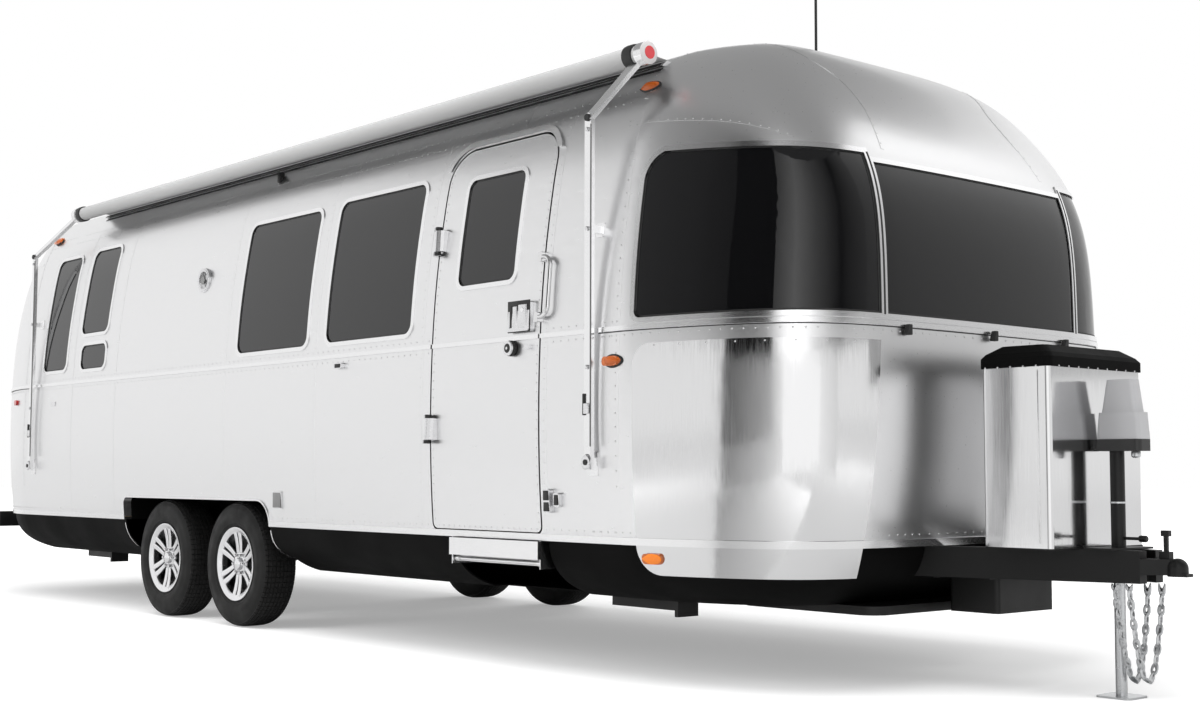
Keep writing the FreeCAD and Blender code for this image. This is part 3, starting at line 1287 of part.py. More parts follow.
# ---------------------------------------------------------------- entry step
def entry_step():
    bar_r = 8
    cheek = 6
    x0 = STEP_X0 - 8 - cheek
    x1 = STEP_X1 + 8 + cheek
    rod = cylinder(bar_r, V(x0, STEP_Y, STEP_Z), V(x1, STEP_Y, STEP_Z))
    plates = []
    for a in (x0, x1 - cheek):
        plates.append(box(a, a + cheek, STEP_Y - 24, STEP_Y + STEP_REACH + 20, STEP_Z - 24, RAIL_TOP_Z))
    top = box(x0, x1, STEP_Y + STEP_REACH - 20, STEP_Y + STEP_REACH + 20, RAIL_TOP_Z - 8, RAIL_TOP_Z)
    valance = box(x0, x1, STEP_Y - 40, STEP_Y - 34, VALANCE_Z0, VALANCE_Z1)
    ties = [box(a, a + cheek, STEP_Y - 35, STEP_Y - 20, VALANCE_Z0, VALANCE_Z1) for a in (x0, x1 - cheek)]
    save("step_frame", fuse([rod, top, valance] + ties + plates))
    half = STEP_T / 2
    tread = plan_prism(STEP_X0, STEP_X1, STEP_Y + 34, STEP_Y + STEP_REACH, (4, 4, 30, 30),
                       STEP_Z - half, STEP_Z + half)
    shapes = [tread]
    for a in (STEP_X0, STEP_X1 - 24):
        shapes.append(box(a, a + 24, STEP_Y, STEP_Y + 40, STEP_Z - half, STEP_Z + half))
        shapes.append(cylinder(half, V(a, STEP_Y, STEP_Z), V(a + 24, STEP_Y, STEP_Z)))
    step = fuse(shapes)
    step = step.cut(cylinder(bar_r + CLEAR, V(STEP_X0 - 1, STEP_Y, STEP_Z), V(STEP_X1 + 1, STEP_Y, STEP_Z)))
    save("step_tread", step)


# ---------------------------------------------------------------- furniture seen through the glass
def furniture():
    floor = SKIRT_Z
    x0, x1, half, height, back_x, back_height = SOFA
    seat = box(x0, x1, -half, half, floor, floor + height)
    back = box(back_x, x1, -half, half, floor + height, floor + back_height)
    save("front_sofa", fuse([seat, back]))
    x0, x1, half, height = BED
    save("bed", plan_prism(x0, x1, -half, half, 60, floor, floor + height))
    x0, x1, y0, y1, height = GALLEY
    galley = box(x0, x1, y0, y1, floor, floor + height)
    x0, x1, y0, y1, depth = SINK
    sink = plan_prism(x0, x1, y0, y1, 60, floor + height - depth, floor + height + 1)
    x0, x1, y0, y1, height = WARDROBE
    save("cabinets", [galley.cut(sink), box(x0, x1, y0, y1, floor, floor + height)])


def main():
    os.makedirs("parts", exist_ok=True)
    chassis_rails()
    tongue()
    coupler()
    safety_chains()
    jack()
    jack_head()
    axles()
    wheels()
    walls()
    end_caps()
    wheel_housings()
    floor_deck()
    belly_pans()
    underslung_boxes()
    corner_guards()
    body_trim()
    glazing()
    door()
    brackets, leaves = hinges()
    save("door_hinge_brackets", brackets)
    door_hardware(leaves)
    assist_handle()
    gas_locker()
    gas_lid()
    awning_arms(awning_case())
    roof_fittings()
    lamps()
    side_fittings()
    rear_bumper()
    corner_jacks()
    entry_step()
    furniture()


main()
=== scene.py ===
import itertools
import json
import math

import bpy
from mathutils import Matrix, Vector
from mathutils.bvhtree import BVHTree


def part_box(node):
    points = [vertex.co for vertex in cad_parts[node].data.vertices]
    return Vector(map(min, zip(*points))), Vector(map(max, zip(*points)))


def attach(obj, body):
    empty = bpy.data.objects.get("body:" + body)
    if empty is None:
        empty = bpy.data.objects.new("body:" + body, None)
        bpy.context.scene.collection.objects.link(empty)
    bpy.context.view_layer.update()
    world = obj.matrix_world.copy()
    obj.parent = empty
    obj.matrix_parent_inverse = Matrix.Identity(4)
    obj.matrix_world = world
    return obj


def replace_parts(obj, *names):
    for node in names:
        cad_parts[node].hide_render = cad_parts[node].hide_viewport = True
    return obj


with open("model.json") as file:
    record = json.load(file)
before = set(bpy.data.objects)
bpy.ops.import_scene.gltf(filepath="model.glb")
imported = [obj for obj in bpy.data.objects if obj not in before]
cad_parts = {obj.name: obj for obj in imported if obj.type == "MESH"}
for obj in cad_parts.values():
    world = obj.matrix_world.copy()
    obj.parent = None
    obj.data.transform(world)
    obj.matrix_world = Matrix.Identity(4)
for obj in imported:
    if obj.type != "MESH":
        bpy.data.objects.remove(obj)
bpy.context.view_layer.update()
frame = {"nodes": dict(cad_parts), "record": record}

nodes = frame["nodes"]
bpy.ops.object.select_all(action="DESELECT")

# ---------------------------------------------------------------- camera
# Looks at the right front corner from low down, through a short telephoto lens.
CAMERA_PLACE = (7.6865, -5.6869, 0.8582)
CAMERA_TURN = (93.974, -0.110, 48.983)      # degrees about X, Y and Z

bpy.ops.object.camera_add(location=CAMERA_PLACE, rotation=[math.radians(angle) for angle in CAMERA_TURN])
camera = bpy.context.object
camera.name = "camera"
camera.data.sensor_width = 36
camera.data.lens = 48.65
camera.data.clip_end = 200
bpy.context.scene.camera = camera
bpy.context.scene.view_settings.view_transform = "Standard"

# ---------------------------------------------------------------- studio
# A white seamless floor and backdrop, soft lamps overhead and at the sides, and
# grey studio flags that only polished metal and glass pick up.
WHITE = (1, 1, 1, 1)
SKY_STRENGTH = 0.45             # what the backdrop adds to the light
FLOOR_SIZE = 160
FLOOR_GREY = 0.80
FLOOR_LIFT = (0.34, 1.0)        # what the floor adds where it is looked at, near the body and far off
MIRRORED_GREY = 0.56            # the floor's tone in mirrors, and what it adds there
MIRRORED_LIFT = (0.05, 0.62)
FLOOR_FADE = (5.0, 13.0)        # how far out the lift begins and ends its rise
LAMPS = (   # name, watts, size, place, aim
    ("overhead lamp", 800, 9.0, (1.0, -2.0, 8.0), (0, 0, 1)),
    ("right lamp", 420, 6.0, (-2.0, -9.0, 4.5), (0, 0, 1)),
    ("front lamp", 300, 5.0, (10.5, 2.0, 4.5), (2, 0, 1)),
    ("rear lamp", 420, 6.0, (-6.0, 9.0, 5.0), (0, 0, 1)),
)
FLAG_CENTRE = Vector((3.3, -1.1, 0.0))
FLAG_DISTANCE = 6.0
FLAGS = (   # name, brightness at first and last edge, their directions, bottom, top, gain to the top
    ("left_flag", 0.34, 0.12, -132, -95, 2.3, 8.5, 1.0),
    ("black_flag", 0.0, 0.0, -95, -66, 2.0, 8.5, 1.0),
    ("edge_flag", 0.12, 0.5, -96, -69, 0.7, 2.0, 1.0),
    ("foot_flag", 0.28, 0.9, -96, -60, 0.0, 0.7, 1.0),
    ("step_flag", 0.5, 1.1, -69, -56, 0.7, 2.0, 1.0),
    ("soft_box", 1.25, 1.25, -56, -12, 0.0, 2.0, 1.0),
    ("soft_edge", 1.1, 0.86, -12, 8, 0.0, 2.0, 1.0),
    ("glow_edge", 0.8, 2.1, -66, -44, 2.0, 8.5, 0.7),
    ("glow_box", 2.1, 1.0, -44, -20, 2.0, 8.5, 0.7),
    ("glow_fade", 1.0, 0.03, -20, 12, 2.0, 8.5, 0.7),
    ("front_flag", 0.03, 0.35, 12, 34, 2.0, 8.5, 1.8),
    ("nose_flag", 0.35, 0.8, 34, 82, 1.5, 8.5, 2.4),
)


def new_node(tree, kind, inputs=None, **settings):
    """A shader node; each of its inputs gets a plain value or the output that feeds it."""
    node = tree.nodes.new("ShaderNode" + kind)
    for label, value in settings.items():
        setattr(node, label, value)
    for label, value in (inputs or {}).items():
        if isinstance(value, bpy.types.NodeSocket):
            tree.links.new(value, node.inputs[label])
        else:
            node.inputs[label].default_value = value
    return node


def combined(tree, operation, first, second):
    """Output of one sum, product or other operation on two numbers."""
    return new_node(tree, "Math", {0: first, 1: second}, operation=operation).outputs[0]


def ranged(tree, value, low, high, first, last, **settings):
    """Output that goes from first to last as a value goes from low to high."""
    inputs = {"Value": value, "From Min": low, "From Max": high, "To Min": first, "To Max": last}
    return new_node(tree, "MapRange", inputs, **settings).outputs[0]


def axes_of(tree):
    """The piece's own X, Y and Z as outputs."""
    return new_node(tree, "SeparateXYZ", {0: new_node(tree, "TexCoord").outputs["Object"]}).outputs


def new_material(name, colour, roughness, metallic=0.0):
    """A material with one Principled shader; gives the material, its tree and that shader."""
    material = bpy.data.materials.new(name)
    material.use_nodes = True
    node = material.node_tree.nodes["Principled BSDF"]
    node.inputs["Base Color"].default_value = (*colour, 1)
    node.inputs["Roughness"].default_value = roughness
    node.inputs["Metallic"].default_value = metallic
    return material, material.node_tree, node


world = bpy.data.worlds.new("studio")
bpy.context.scene.world = world
world.use_nodes = True
tree = world.node_tree
sky = tree.nodes["Background"]
sky.inputs["Color"].default_value = WHITE
sky.inputs["Strength"].default_value = SKY_STRENGTH
backdrop = new_node(tree, "Background", {"Color": WHITE, "Strength": 1.0})
ray = new_node(tree, "LightPath").outputs
seen = combined(tree, "MAXIMUM", ray["Is Camera Ray"], ray["Is Glossy Ray"])
seen = combined(tree, "MAXIMUM", seen, ray["Is Transmission Ray"])
choose = new_node(tree, "MixShader", {"Fac": seen, 1: sky.outputs[0], 2: backdrop.outputs[0]})
tree.links.new(choose.outputs[0], tree.nodes["World Output"].inputs["Surface"])

bpy.ops.mesh.primitive_plane_add(size=FLOOR_SIZE, location=(0, 0, 0))
floor = bpy.context.object
floor.name = "studio_floor"
floor_paint, tree, shader = new_material("floor paint", [FLOOR_GREY] * 3, 0.9)
shader.inputs["Specular IOR Level"].default_value = 0.0
shader.inputs["Emission Color"].default_value = WHITE
ray = new_node(tree, "LightPath").outputs
tones = {0: ray["Is Glossy Ray"], 6: (*[FLOOR_GREY] * 3, 1), 7: (*[MIRRORED_GREY] * 3, 1)}
paint = new_node(tree, "Mix", tones, data_type="RGBA")
tree.links.new(paint.outputs[2], shader.inputs["Base Color"])
looked_at = combined(tree, "MAXIMUM", ray["Is Camera Ray"], ray["Is Transmission Ray"])
place = new_node(tree, "TexCoord").outputs["Object"]
reach = new_node(tree, "VectorMath", {0: place}, operation="LENGTH").outputs["Value"]
lifts = []
for (near, distant), seen_by in ((FLOOR_LIFT, looked_at), (MIRRORED_LIFT, ray["Is Glossy Ray"])):
    far = ranged(tree, reach, *FLOOR_FADE, near, distant, interpolation_type="SMOOTHSTEP")
    lifts.append(combined(tree, "MULTIPLY", seen_by, far))
tree.links.new(combined(tree, "ADD", *lifts), shader.inputs["Emission Strength"])
floor.data.materials.append(floor_paint)

for name, watts, size, place, aim in LAMPS:
    bpy.ops.object.light_add(type="AREA", location=place)
    lamp = bpy.context.object
    lamp.name = name
    lamp.data.energy = watts
    lamp.data.size = size
    lamp.rotation_euler = (Vector(aim) - Vector(place)).to_track_quat("-Z", "Y").to_euler()
    lamp.visible_glossy = False


def studio_card(name, place, turn, width, height, first, last, gain=1.0):
    """A card that glows for mirrors alone, from first to last along it, times gain at its top."""
    bpy.ops.mesh.primitive_plane_add(size=1, location=place)
    card = bpy.context.object
    card.name = name
    card.scale = (width, height, 1)
    card.rotation_euler = turn
    paint, tree, glow = new_material(name.replace("_", " "), (0, 0, 0), 0.5)
    glow.inputs["Specular IOR Level"].default_value = 0.0
    glow.inputs["Emission Color"].default_value = WHITE
    axes = axes_of(tree)
    fade = ranged(tree, axes["X"], 0.5, -0.5, first, last)
    lift = ranged(tree, axes["Y"], -0.5, 0.5, 1.0, gain)
    tree.links.new(combined(tree, "MULTIPLY", fade, lift), glow.inputs["Emission Strength"])
    card.data.materials.append(paint)
    card.visible_camera = False
    card.visible_diffuse = False
    card.visible_transmission = False
    card.visible_shadow = False


studio_card("ceiling_flag", (0, -0.5, 8.5), (0, 0, 0), 19, 17, 0.26, 0.42)
studio_card("floor_flag", (4.78, -4.6, 0.004), (0, 0, math.radians(-6)), 4.0, 4.9, 1.1, 0.34, 1.5)
for name, near, distant, first, last, bottom, top, gain in FLAGS:
    middle = math.radians((first + last) / 2)
    outward = Vector((math.cos(middle), math.sin(middle), 0))
    width = 2 * FLAG_DISTANCE * math.tan(math.radians((last - first) / 2))
    place = FLAG_CENTRE + outward * FLAG_DISTANCE + Vector((0, 0, (bottom + top) / 2))
    turn = (math.radians(90), 0, middle - math.radians(90))
    studio_card(name, place, turn, width, top - bottom, near, distant, gain)

# ---------------------------------------------------------------- chassis
# Welded steel rails, tongue legs, axles and bumper, black powder coat with road dust
# low down.  They stay as they are and take the paint.


def group_of(name, inputs, outputs):
    """An empty shader node group with float inputs (name, default) and named outputs."""
    group = bpy.data.node_groups.new(name, "ShaderNodeTree")
    for label, value in inputs:
        socket = group.interface.new_socket(label, in_out="INPUT", socket_type="NodeSocketFloat")
        socket.default_value = value
    for label in outputs:
        group.interface.new_socket(label, in_out="OUTPUT", socket_type="NodeSocketFloat")
    return group, group.nodes.new("NodeGroupInput").outputs, group.nodes.new("NodeGroupOutput").inputs


# Grain: two noises, a fine one and a broad one, stretched along X and, for upright grain, along Z.
grain_group, given, grain_out = group_of(
    "surface grain", (("Fine Scale", 300.0), ("Broad Scale", 4.0), ("Stretch", 1.0), ("Upright", 1.0)),
    ("Fine", "Broad"))
place = new_node(grain_group, "TexCoord").outputs["Object"]
triple = new_node(grain_group, "CombineXYZ", {0: given["Stretch"], 1: 1.0, 2: given["Upright"]})
stretched = new_node(grain_group, "VectorMath", {0: place, 1: triple.outputs[0]}, operation="MULTIPLY")
for label in ("Fine", "Broad"):
    noise = new_node(grain_group, "TexNoise", {
        "Vector": stretched.outputs[0], "Scale": given[label + " Scale"], "Detail": 3.0})
    grain_group.links.new(noise.outputs["Fac"], grain_out[label])

# Road dust: strongest near the ground, broken up by a noise.
dust_group, given, dust_out = group_of("road dust", (("Top Height", 0.6), ("Amount", 0.5)), ("Dust",))
place = new_node(dust_group, "TexCoord").outputs["Object"]
patches = new_node(dust_group, "TexNoise", {"Vector": place, "Scale": 9.0, "Detail": 5.0})
fade = ranged(dust_group, axes_of(dust_group)["Z"], 0.0, given["Top Height"], 1.0, 0.0)
broken = combined(dust_group, "MULTIPLY", fade, patches.outputs["Fac"])
dust_group.links.new(combined(dust_group, "MULTIPLY", broken, given["Amount"]), dust_out["Dust"])


def bumped(tree, source, strength, distance, shader):
    bump = new_node(tree, "Bump", {"Strength": strength, "Distance": distance, "Height": source})
    tree.links.new(bump.outputs["Normal"], shader.inputs["Normal"])


def two_colours(tree, mask, first, second, shader):
    """Base colour from first to second as the mask goes from 0 to 1."""
    mix = new_node(tree, "Mix", {"Factor": mask, "A": (*first, 1), "B": (*second, 1)}, data_type="RGBA")
    tree.links.new(mix.outputs["Result"], shader.inputs["Base Color"])


def dusted(tree, base, dust, top, amount, shader):
    """Base colour with road dust over it."""
    powder = new_node(tree, "Group", {"Top Height": top, "Amount": amount}, node_tree=dust_group)
    two_colours(tree, powder.outputs["Dust"], base, dust, shader)


def step_mask(tree, axis, low, high):
    """Mask that rises from 0 to 1 between two places along an axis of the piece."""
    return ranged(tree, axes_of(tree)[axis], low, high, 0.0, 1.0)


def paint_node(name, material):
    for holder in nodes[name].material_slots:
        holder.material = material


def dress(slot, material):
    """Give a finish to every CAD node that the record puts in that slot."""
    for part in frame["record"]["subparts"]:
        if part["material_slot"] == slot:
            paint_node(part["node"], material)


def grained(name, colour, metallic, scales, rough, bump=None, slot=None, stretch=1.0, upright=1.0):
    """A finish whose roughness, and its bump if it has one, follow the grain.

    The scales are of the fine and the broad noise.  Rough names a noise, the lowest and the highest
    roughness; bump names a noise, its strength and its depth.  A slot's CAD nodes are dressed in it.
    """
    source, low, high = rough
    material, tree, shader = new_material(name, colour, (low + high) / 2, metallic)
    values = {"Fine Scale": scales[0], "Broad Scale": scales[1], "Stretch": stretch, "Upright": upright}
    grain = new_node(tree, "Group", values, node_tree=grain_group).outputs
    tree.links.new(ranged(tree, grain[source], 0.25, 0.75, low, high), shader.inputs["Roughness"])
    if bump:
        source, strength, depth = bump
        bumped(tree, grain[source], strength, depth, shader)
    if slot:
        dress(slot, material)
    return material, tree, shader, grain


powder_black, tree, shader, grain = grained(
    "black powder coat", (0.006, 0.006, 0.006), 0.0, (900.0, 6.0), ("Broad", 0.36, 0.5),
    ("Fine", 0.15, 0.0004), "chassis_black")
dusted(tree, (0.005, 0.005, 0.005), (0.04, 0.038, 0.034), 0.5, 0.15, shader)
shader.inputs["Specular IOR Level"].default_value = 0.3

# ---------------------------------------------------------------- tongue jack
# Electric jack on the tongue: black post with a thin bright clip ring, pale grey housing on a
# black base plate, and the pull pin of its drop leg.
JACK_X = 4.225
HOUSING_GREY = (0.42, 0.42, 0.43)
HOUSING_FOOT = (0.9955, 0.9965)     # the housing's base plate ends between these heights
AXES = {"X": Vector((1, 0, 0)), "Y": Vector((0, 1, 0)), "Z": Vector((0, 0, 1))}


def edit_mode(on):
    bpy.ops.object.mode_set(mode="EDIT" if on else "OBJECT")


def select_mesh(action="SELECT"):
    bpy.ops.mesh.select_all(action=action)


def face_outwards():
    """Turn the faces of the mesh being edited outwards, and leave edit mode."""
    select_mesh()
    bpy.ops.mesh.normals_make_consistent(inside=False)
    edit_mode(False)


def smooth(degrees):
    """Shade the active object smooth, but for edges sharper than that."""
    bpy.ops.object.shade_smooth_by_angle(angle=math.radians(degrees))


def apply_place():
    bpy.ops.object.transform_apply(location=True, rotation=True, scale=True)


def finished(name, material, body="trailer"):
    """Bring the active object's place into its mesh, give it its finish and fix it to its body."""
    piece = bpy.context.object
    piece.name = name
    apply_place()
    piece.data.materials.clear()
    piece.data.materials.append(material)
    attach(piece, body)
    return piece


def spun(profile, centre, axis, steps):
    """Turn a profile of (radius, place along the axis) points about X, Y or Z."""
    along = AXES[axis]
    across = AXES["X"] if axis == "Z" else AXES["Z"]
    points = [Vector(centre) + across * r + along * a for r, a in profile]
    bpy.ops.object.select_all(action="DESELECT")
    bpy.ops.mesh.primitive_plane_add(size=0.002, location=(0, 0, 0))
    edit_mode(True)
    bpy.ops.mesh.select_mode(type="VERT")
    select_mesh()
    bpy.ops.mesh.merge(type="CENTER")
    bpy.ops.transform.translate(value=points[0])
    for before, after in zip(points, points[1:]):
        bpy.ops.mesh.extrude_region_move(TRANSFORM_OT_translate={"value": after - before})
    select_mesh()
    bpy.ops.mesh.spin(steps=steps, angle=math.tau, center=centre, axis=along)
    select_mesh()
    bpy.ops.mesh.remove_doubles(threshold=0.00002)
    face_outwards()
    smooth(32)
    return bpy.context.object


def turned(name, profile, centre, axis, steps, material, body="trailer"):
    """A turned piece with its finish, on its body."""
    spun(profile, centre, axis, steps)
    return finished(name, material, body)


_, tree, shader, grain = grained(
    "grey jack housing", HOUSING_GREY, 0.0, (700.0, 10.0), ("Broad", 0.33, 0.5), ("Fine", 0.2, 0.0004),
    "grey_plastic")
two_colours(tree, step_mask(tree, "Z", *HOUSING_FOOT), (0.012, 0.012, 0.012), HOUSING_GREY, shader)
zinc = grained("bright zinc", (0.62, 0.63, 0.64), 1.0, (160.0, 30.0), ("Fine", 0.22, 0.45), None, "zinc")[0]

turned("jack_clip_ring", [(0.0281, -0.004), (0.0300, -0.003), (0.0300, 0.003), (0.0281, 0.004)],
       (JACK_X, 0, 0.75), "Z", 32, zinc)
turned("jack_pull_pin", [
    (0.0, 0.020), (0.006, 0.020), (0.006, 0.088), (0.011, 0.090), (0.013, 0.094), (0.013, 0.118),
    (0.010, 0.122), (0.0, 0.122)], (JACK_X, 0, 0.612), "X", 16, powder_black)
turned("jack_level_knob", [
    (0.0, 0.0), (0.016, 0.0), (0.018, -0.004), (0.018, -0.020), (0.012, -0.026), (0.0, -0.027)],
    (JACK_X + 0.082, 0.0, 0.9495), "Z", 20, zinc)

# ---------------------------------------------------------------- safety chains
# Welded round-wire links, zinc plated.  The plain links are merged and rounded off.


def opened_copy(source):
    """Copy of a CAD node on its own, its loose triangles merged, left open in edit mode."""
    bpy.ops.object.select_all(action="DESELECT")
    copy = nodes[source].copy()
    copy.data = nodes[source].data.copy()
    copy.parent = None
    bpy.context.collection.objects.link(copy)
    bpy.context.view_layer.objects.active = copy
    copy.select_set(True)
    edit_mode(True)
    select_mesh()
    bpy.ops.mesh.remove_doubles(threshold=0.00005)
    return copy


chains = opened_copy("safety_chains")
bpy.ops.mesh.dissolve_limited(angle_limit=math.radians(3))
edit_mode(False)
rounding = chains.modifiers.new("rounding", "SUBSURF")
rounding.levels = 2
rounding.render_levels = 2
bpy.ops.object.modifier_apply(modifier="rounding")
bpy.ops.object.shade_smooth()
finished("round_wire_chains", zinc)
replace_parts(chains, "safety_chains")

# ---------------------------------------------------------------- wheels
# Radial tyres with block tread on six-spoke cast alloy rims.  One wheel is modelled with its
# outer face to the right, and copied to all four spindles.
WHEELS = ((-0.556, -1.129, "front_right"), (-1.424, -1.129, "rear_right"),
          (-0.556, 1.129, "front_left"), (-1.424, 1.129, "rear_left"))
HUB_Z = 0.35
SPOKES = 6
TREAD_RADIUS = 0.3285           # faces beyond it and wider than a groove become blocks
GROOVE_WIDTH = 0.008
TYRE_HALF = ((0.1906, 0.074), (0.1908, 0.0808), (0.2085, 0.0812), (0.2095, 0.0935), (0.2150, 0.0990),
             (0.2185, 0.0985), (0.2290, 0.1058), (0.2315, 0.1052), (0.2500, 0.1100), (0.2740, 0.1108),
             (0.2765, 0.1096), (0.3000, 0.1080), (0.3180, 0.1015), (0.3270, 0.0945), (0.3300, 0.0925),
             (0.3385, 0.0770), (0.3420, 0.0610), (0.3428, 0.0580), (0.3440, 0.0370), (0.3440, 0.0340),
             (0.3443, 0.0130), (0.3443, 0.0100))

rubber, tree, shader, grain = grained(
    "tyre rubber", (0.010, 0.010, 0.010), 0.0, (700.0, 14.0), ("Broad", 0.5, 0.75), ("Fine", 0.25, 0.0004),
    "tyre_rubber")
dusted(tree, (0.008, 0.008, 0.008), (0.04, 0.038, 0.036), 0.75, 0.25, shader)
shader.inputs["Specular IOR Level"].default_value = 0.25
cast_alloy = grained("bright alloy", (0.80, 0.80, 0.81), 1.0, (240.0, 18.0), ("Fine", 0.14, 0.28),
                     ("Fine", 0.08, 0.0003), "alloy")[0]
brake_black = grained("brake drum iron", (0.02, 0.02, 0.02), 0.5, (300.0, 20.0), ("Broad", 0.45, 0.75))[0]

profile = [(r, -y) for r, y in TYRE_HALF] + [(r, y) for r, y in reversed(TYRE_HALF)]
profile.append(profile[0])
tyre = spun(profile, (0, 0, 0), "Y", 72)
edit_mode(True)
bpy.ops.mesh.select_mode(type="FACE")
select_mesh("DESELECT")
edit_mode(False)
for face in tyre.data.polygons:
    sides = [tyre.data.vertices[v].co.y for v in face.vertices]
    radius = math.hypot(face.center.x, face.center.z)
    face.select = radius > TREAD_RADIUS and max(sides) - min(sides) > GROOVE_WIDTH
edit_mode(True)
bpy.ops.mesh.inset(thickness=0.0022, depth=0.0054, use_individual=True)
edit_mode(False)
smooth(28)
tyre.data.materials.clear()
tyre.data.materials.append(rubber)

# Rim: barrel and flanges, hub, cap, six split spokes and six nuts, all one casting but the nuts.
barrel = spun([
    (0.2066, -0.0812), (0.2066, -0.0990), (0.2050, -0.1008), (0.1970, -0.1008), (0.1930, -0.0985),
    (0.1790, -0.0930), (0.1730, -0.0870), (0.1710, -0.0700), (0.1810, -0.0400), (0.1830, 0.0700),
    (0.1870, 0.0900), (0.1990, 0.1008), (0.2050, 0.1008), (0.2066, 0.0990), (0.2066, 0.0812),
    (0.1900, 0.0806), (0.1900, -0.0806), (0.2066, -0.0812)], (0, 0, 0), "Y", 72)
hub = spun([(0.0, -0.058), (0.034, -0.060), (0.036, -0.070), (0.062, -0.072), (0.071, -0.068),
            (0.075, -0.058), (0.075, -0.040), (0.0, -0.036)], (0, 0, 0), "Y", 48)
hub_cap = spun([(0.0, -0.0925), (0.022, -0.0915), (0.030, -0.088), (0.0335, -0.080), (0.0335, -0.060),
                (0.0, -0.060)], (0, 0, 0), "Y", 40)
casting = [barrel, hub, hub_cap]


def rounded(piece, width, segments):
    """Round off a piece's edges."""
    rounding = piece.modifiers.new("rounding", "BEVEL")
    rounding.width = width
    rounding.segments = segments
    bpy.ops.object.modifier_apply(modifier="rounding")


def plain_box(size, middle):
    """A box to start a piece from, of a size and about a middle."""
    bpy.ops.object.select_all(action="DESELECT")
    bpy.ops.mesh.primitive_cube_add(size=1, location=middle)
    box = bpy.context.object
    box.scale = size
    apply_place()
    return box


def divide(cuts):
    """Cut every edge of the active mesh a number of times."""
    edit_mode(True)
    select_mesh()
    bpy.ops.mesh.subdivide(number_cuts=cuts)
    edit_mode(False)


def own_copy(source):
    """A copy of an object with its own mesh."""
    copy = source.copy()
    copy.data = source.data.copy()
    bpy.context.collection.objects.link(copy)
    return copy


def spoke(lean):
    """One bar of a split spoke, from the hub to the rim, leaning to one side."""
    bar = plain_box((0.030, 0.020, 0.122), (0.0, -0.068, 0.121))
    divide(2)
    for vertex in bar.data.vertices:
        reach = (vertex.co.z - 0.060) / 0.128
        vertex.co.x = vertex.co.x * (0.85 + 0.30 * reach) + lean * (0.0165 + 0.0095 * reach)
        vertex.co.y += -0.020 * reach * reach + 0.003
    rounded(bar, 0.004, 3)
    return bar


nut_profile = [(0.0, -0.088), (0.006, -0.088), (0.0095, -0.085), (0.0095, -0.068), (0.0, -0.068)]
patterns = [(spoke(-1), 0.0), (spoke(1), 0.0), (spun(nut_profile, (0.0, 0, 0.054), "Y", 6), math.radians(30))]
for number in range(SPOKES):
    for shape, offset in patterns:
        copy = own_copy(shape)
        copy.data.transform(Matrix.Rotation(math.radians(360 / SPOKES * number) + offset, 4, "Y"))
        casting.append(copy)
for shape, offset in patterns:
    bpy.data.objects.remove(shape)
bpy.ops.object.select_all(action="DESELECT")
for shape in casting:
    shape.select_set(True)
bpy.context.view_layer.objects.active = barrel
bpy.ops.object.join()
rim = bpy.context.object
smooth(34)
rim.data.materials.clear()
rim.data.materials.append(cast_alloy)
drum = spun([(0.0, -0.034), (0.120, -0.030), (0.146, -0.022), (0.151, -0.010), (0.151, 0.078), (0.142, 0.083),
             (0.0, 0.083)], (0, 0, 0), "Y", 48)
drum.data.materials.clear()
drum.data.materials.append(brake_black)


def fitted(source, name, place, mirror, body):
    """A copy of a modelled shape with its own mesh, at its place."""
    copy = own_copy(source)
    copy.name = name
    if mirror:
        copy.data.transform(Matrix.Scale(-1, 4, AXES["Y"]))
        copy.data.flip_normals()
    copy.data.transform(Matrix.Translation(place))
    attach(copy, body)
    return copy


for x, y, where in WHEELS:
    body = "wheel_" + where
    place = Vector((x, y, HUB_Z))
    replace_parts(fitted(tyre, "tread_tyre_" + where, place, y > 0, body), "tyre_" + where)
    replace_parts(fitted(rim, "cast_rim_" + where, place, y > 0, body), "rim_" + where)
    fitted(drum, "brake_drum_" + where, place, y > 0, body)
for shape in (tyre, rim, drum):
    bpy.data.objects.remove(shape)

# ---------------------------------------------------------------- belly pan and wheel wells
# Black plastic pans under the floor and liners over the wheels, matt from road spray.
belly_black, tree, shader, grain = grained(
    "black pan plastic", (0.004, 0.004, 0.004), 0.0, (500.0, 3.0), ("Broad", 0.5, 0.7), ("Fine", 0.2, 0.0006),
    "black_plastic")
dusted(tree, (0.003, 0.003, 0.003), (0.02, 0.019, 0.017), 0.5, 0.06, shader)
shader.inputs["Specular IOR Level"].default_value = 0.05

# ---------------------------------------------------------------- aluminium skin
# Sheets of clear-coated aluminium, riveted over ribs.  Rolling leaves a fine grain along
# the sheet, and the rivets pull it into faint waves.
SKIN = ("wall_lower_right", "wall_upper_right", "wall_lower_left", "wall_upper_left", "roof_panel",
        "front_cap_lower", "front_cap_upper", "rear_cap_lower", "rear_cap_upper")
OVER_SKIN = ("corner_guards", "window_frames", "body_trim", "door_panel", "door_trim", "front_glass",
             "cabin_glass", "lamps", "side_fittings", "awning_arms", "door_hinge_brackets", "assist_handle",
             "roof_equipment", "door_hardware")
FRONT_CAP_X = 2.74
REAR_CAP_X = -3.526
CAP_X = {1: FRONT_CAP_X, -1: REAR_CAP_X}
OUTSIDE = 3.0                   # how far out the rays to the skin start
RAY_STEP = 0.01                 # between the rays of a level line
UPRIGHT_RAYS = 120
CAP_RAYS = 180
ARCH_RAYS = 200
ARCH_CENTRE_Z = 1.45
ARCH_RADIUS = 3.5
LARGEST_GAP = 0.12              # a cast line that jumps farther than this is two runs
FEWEST_SPOTS = 3                # a shorter stretch of a cast line is left out
RIVET_RADIUS = 0.0042
RIVET_PITCH = 0.042
PETAL_PITCH = 0.034
JOINT_TO_RIVETS = 0.009
CAP_EDGE_TO_JOINT = 0.01
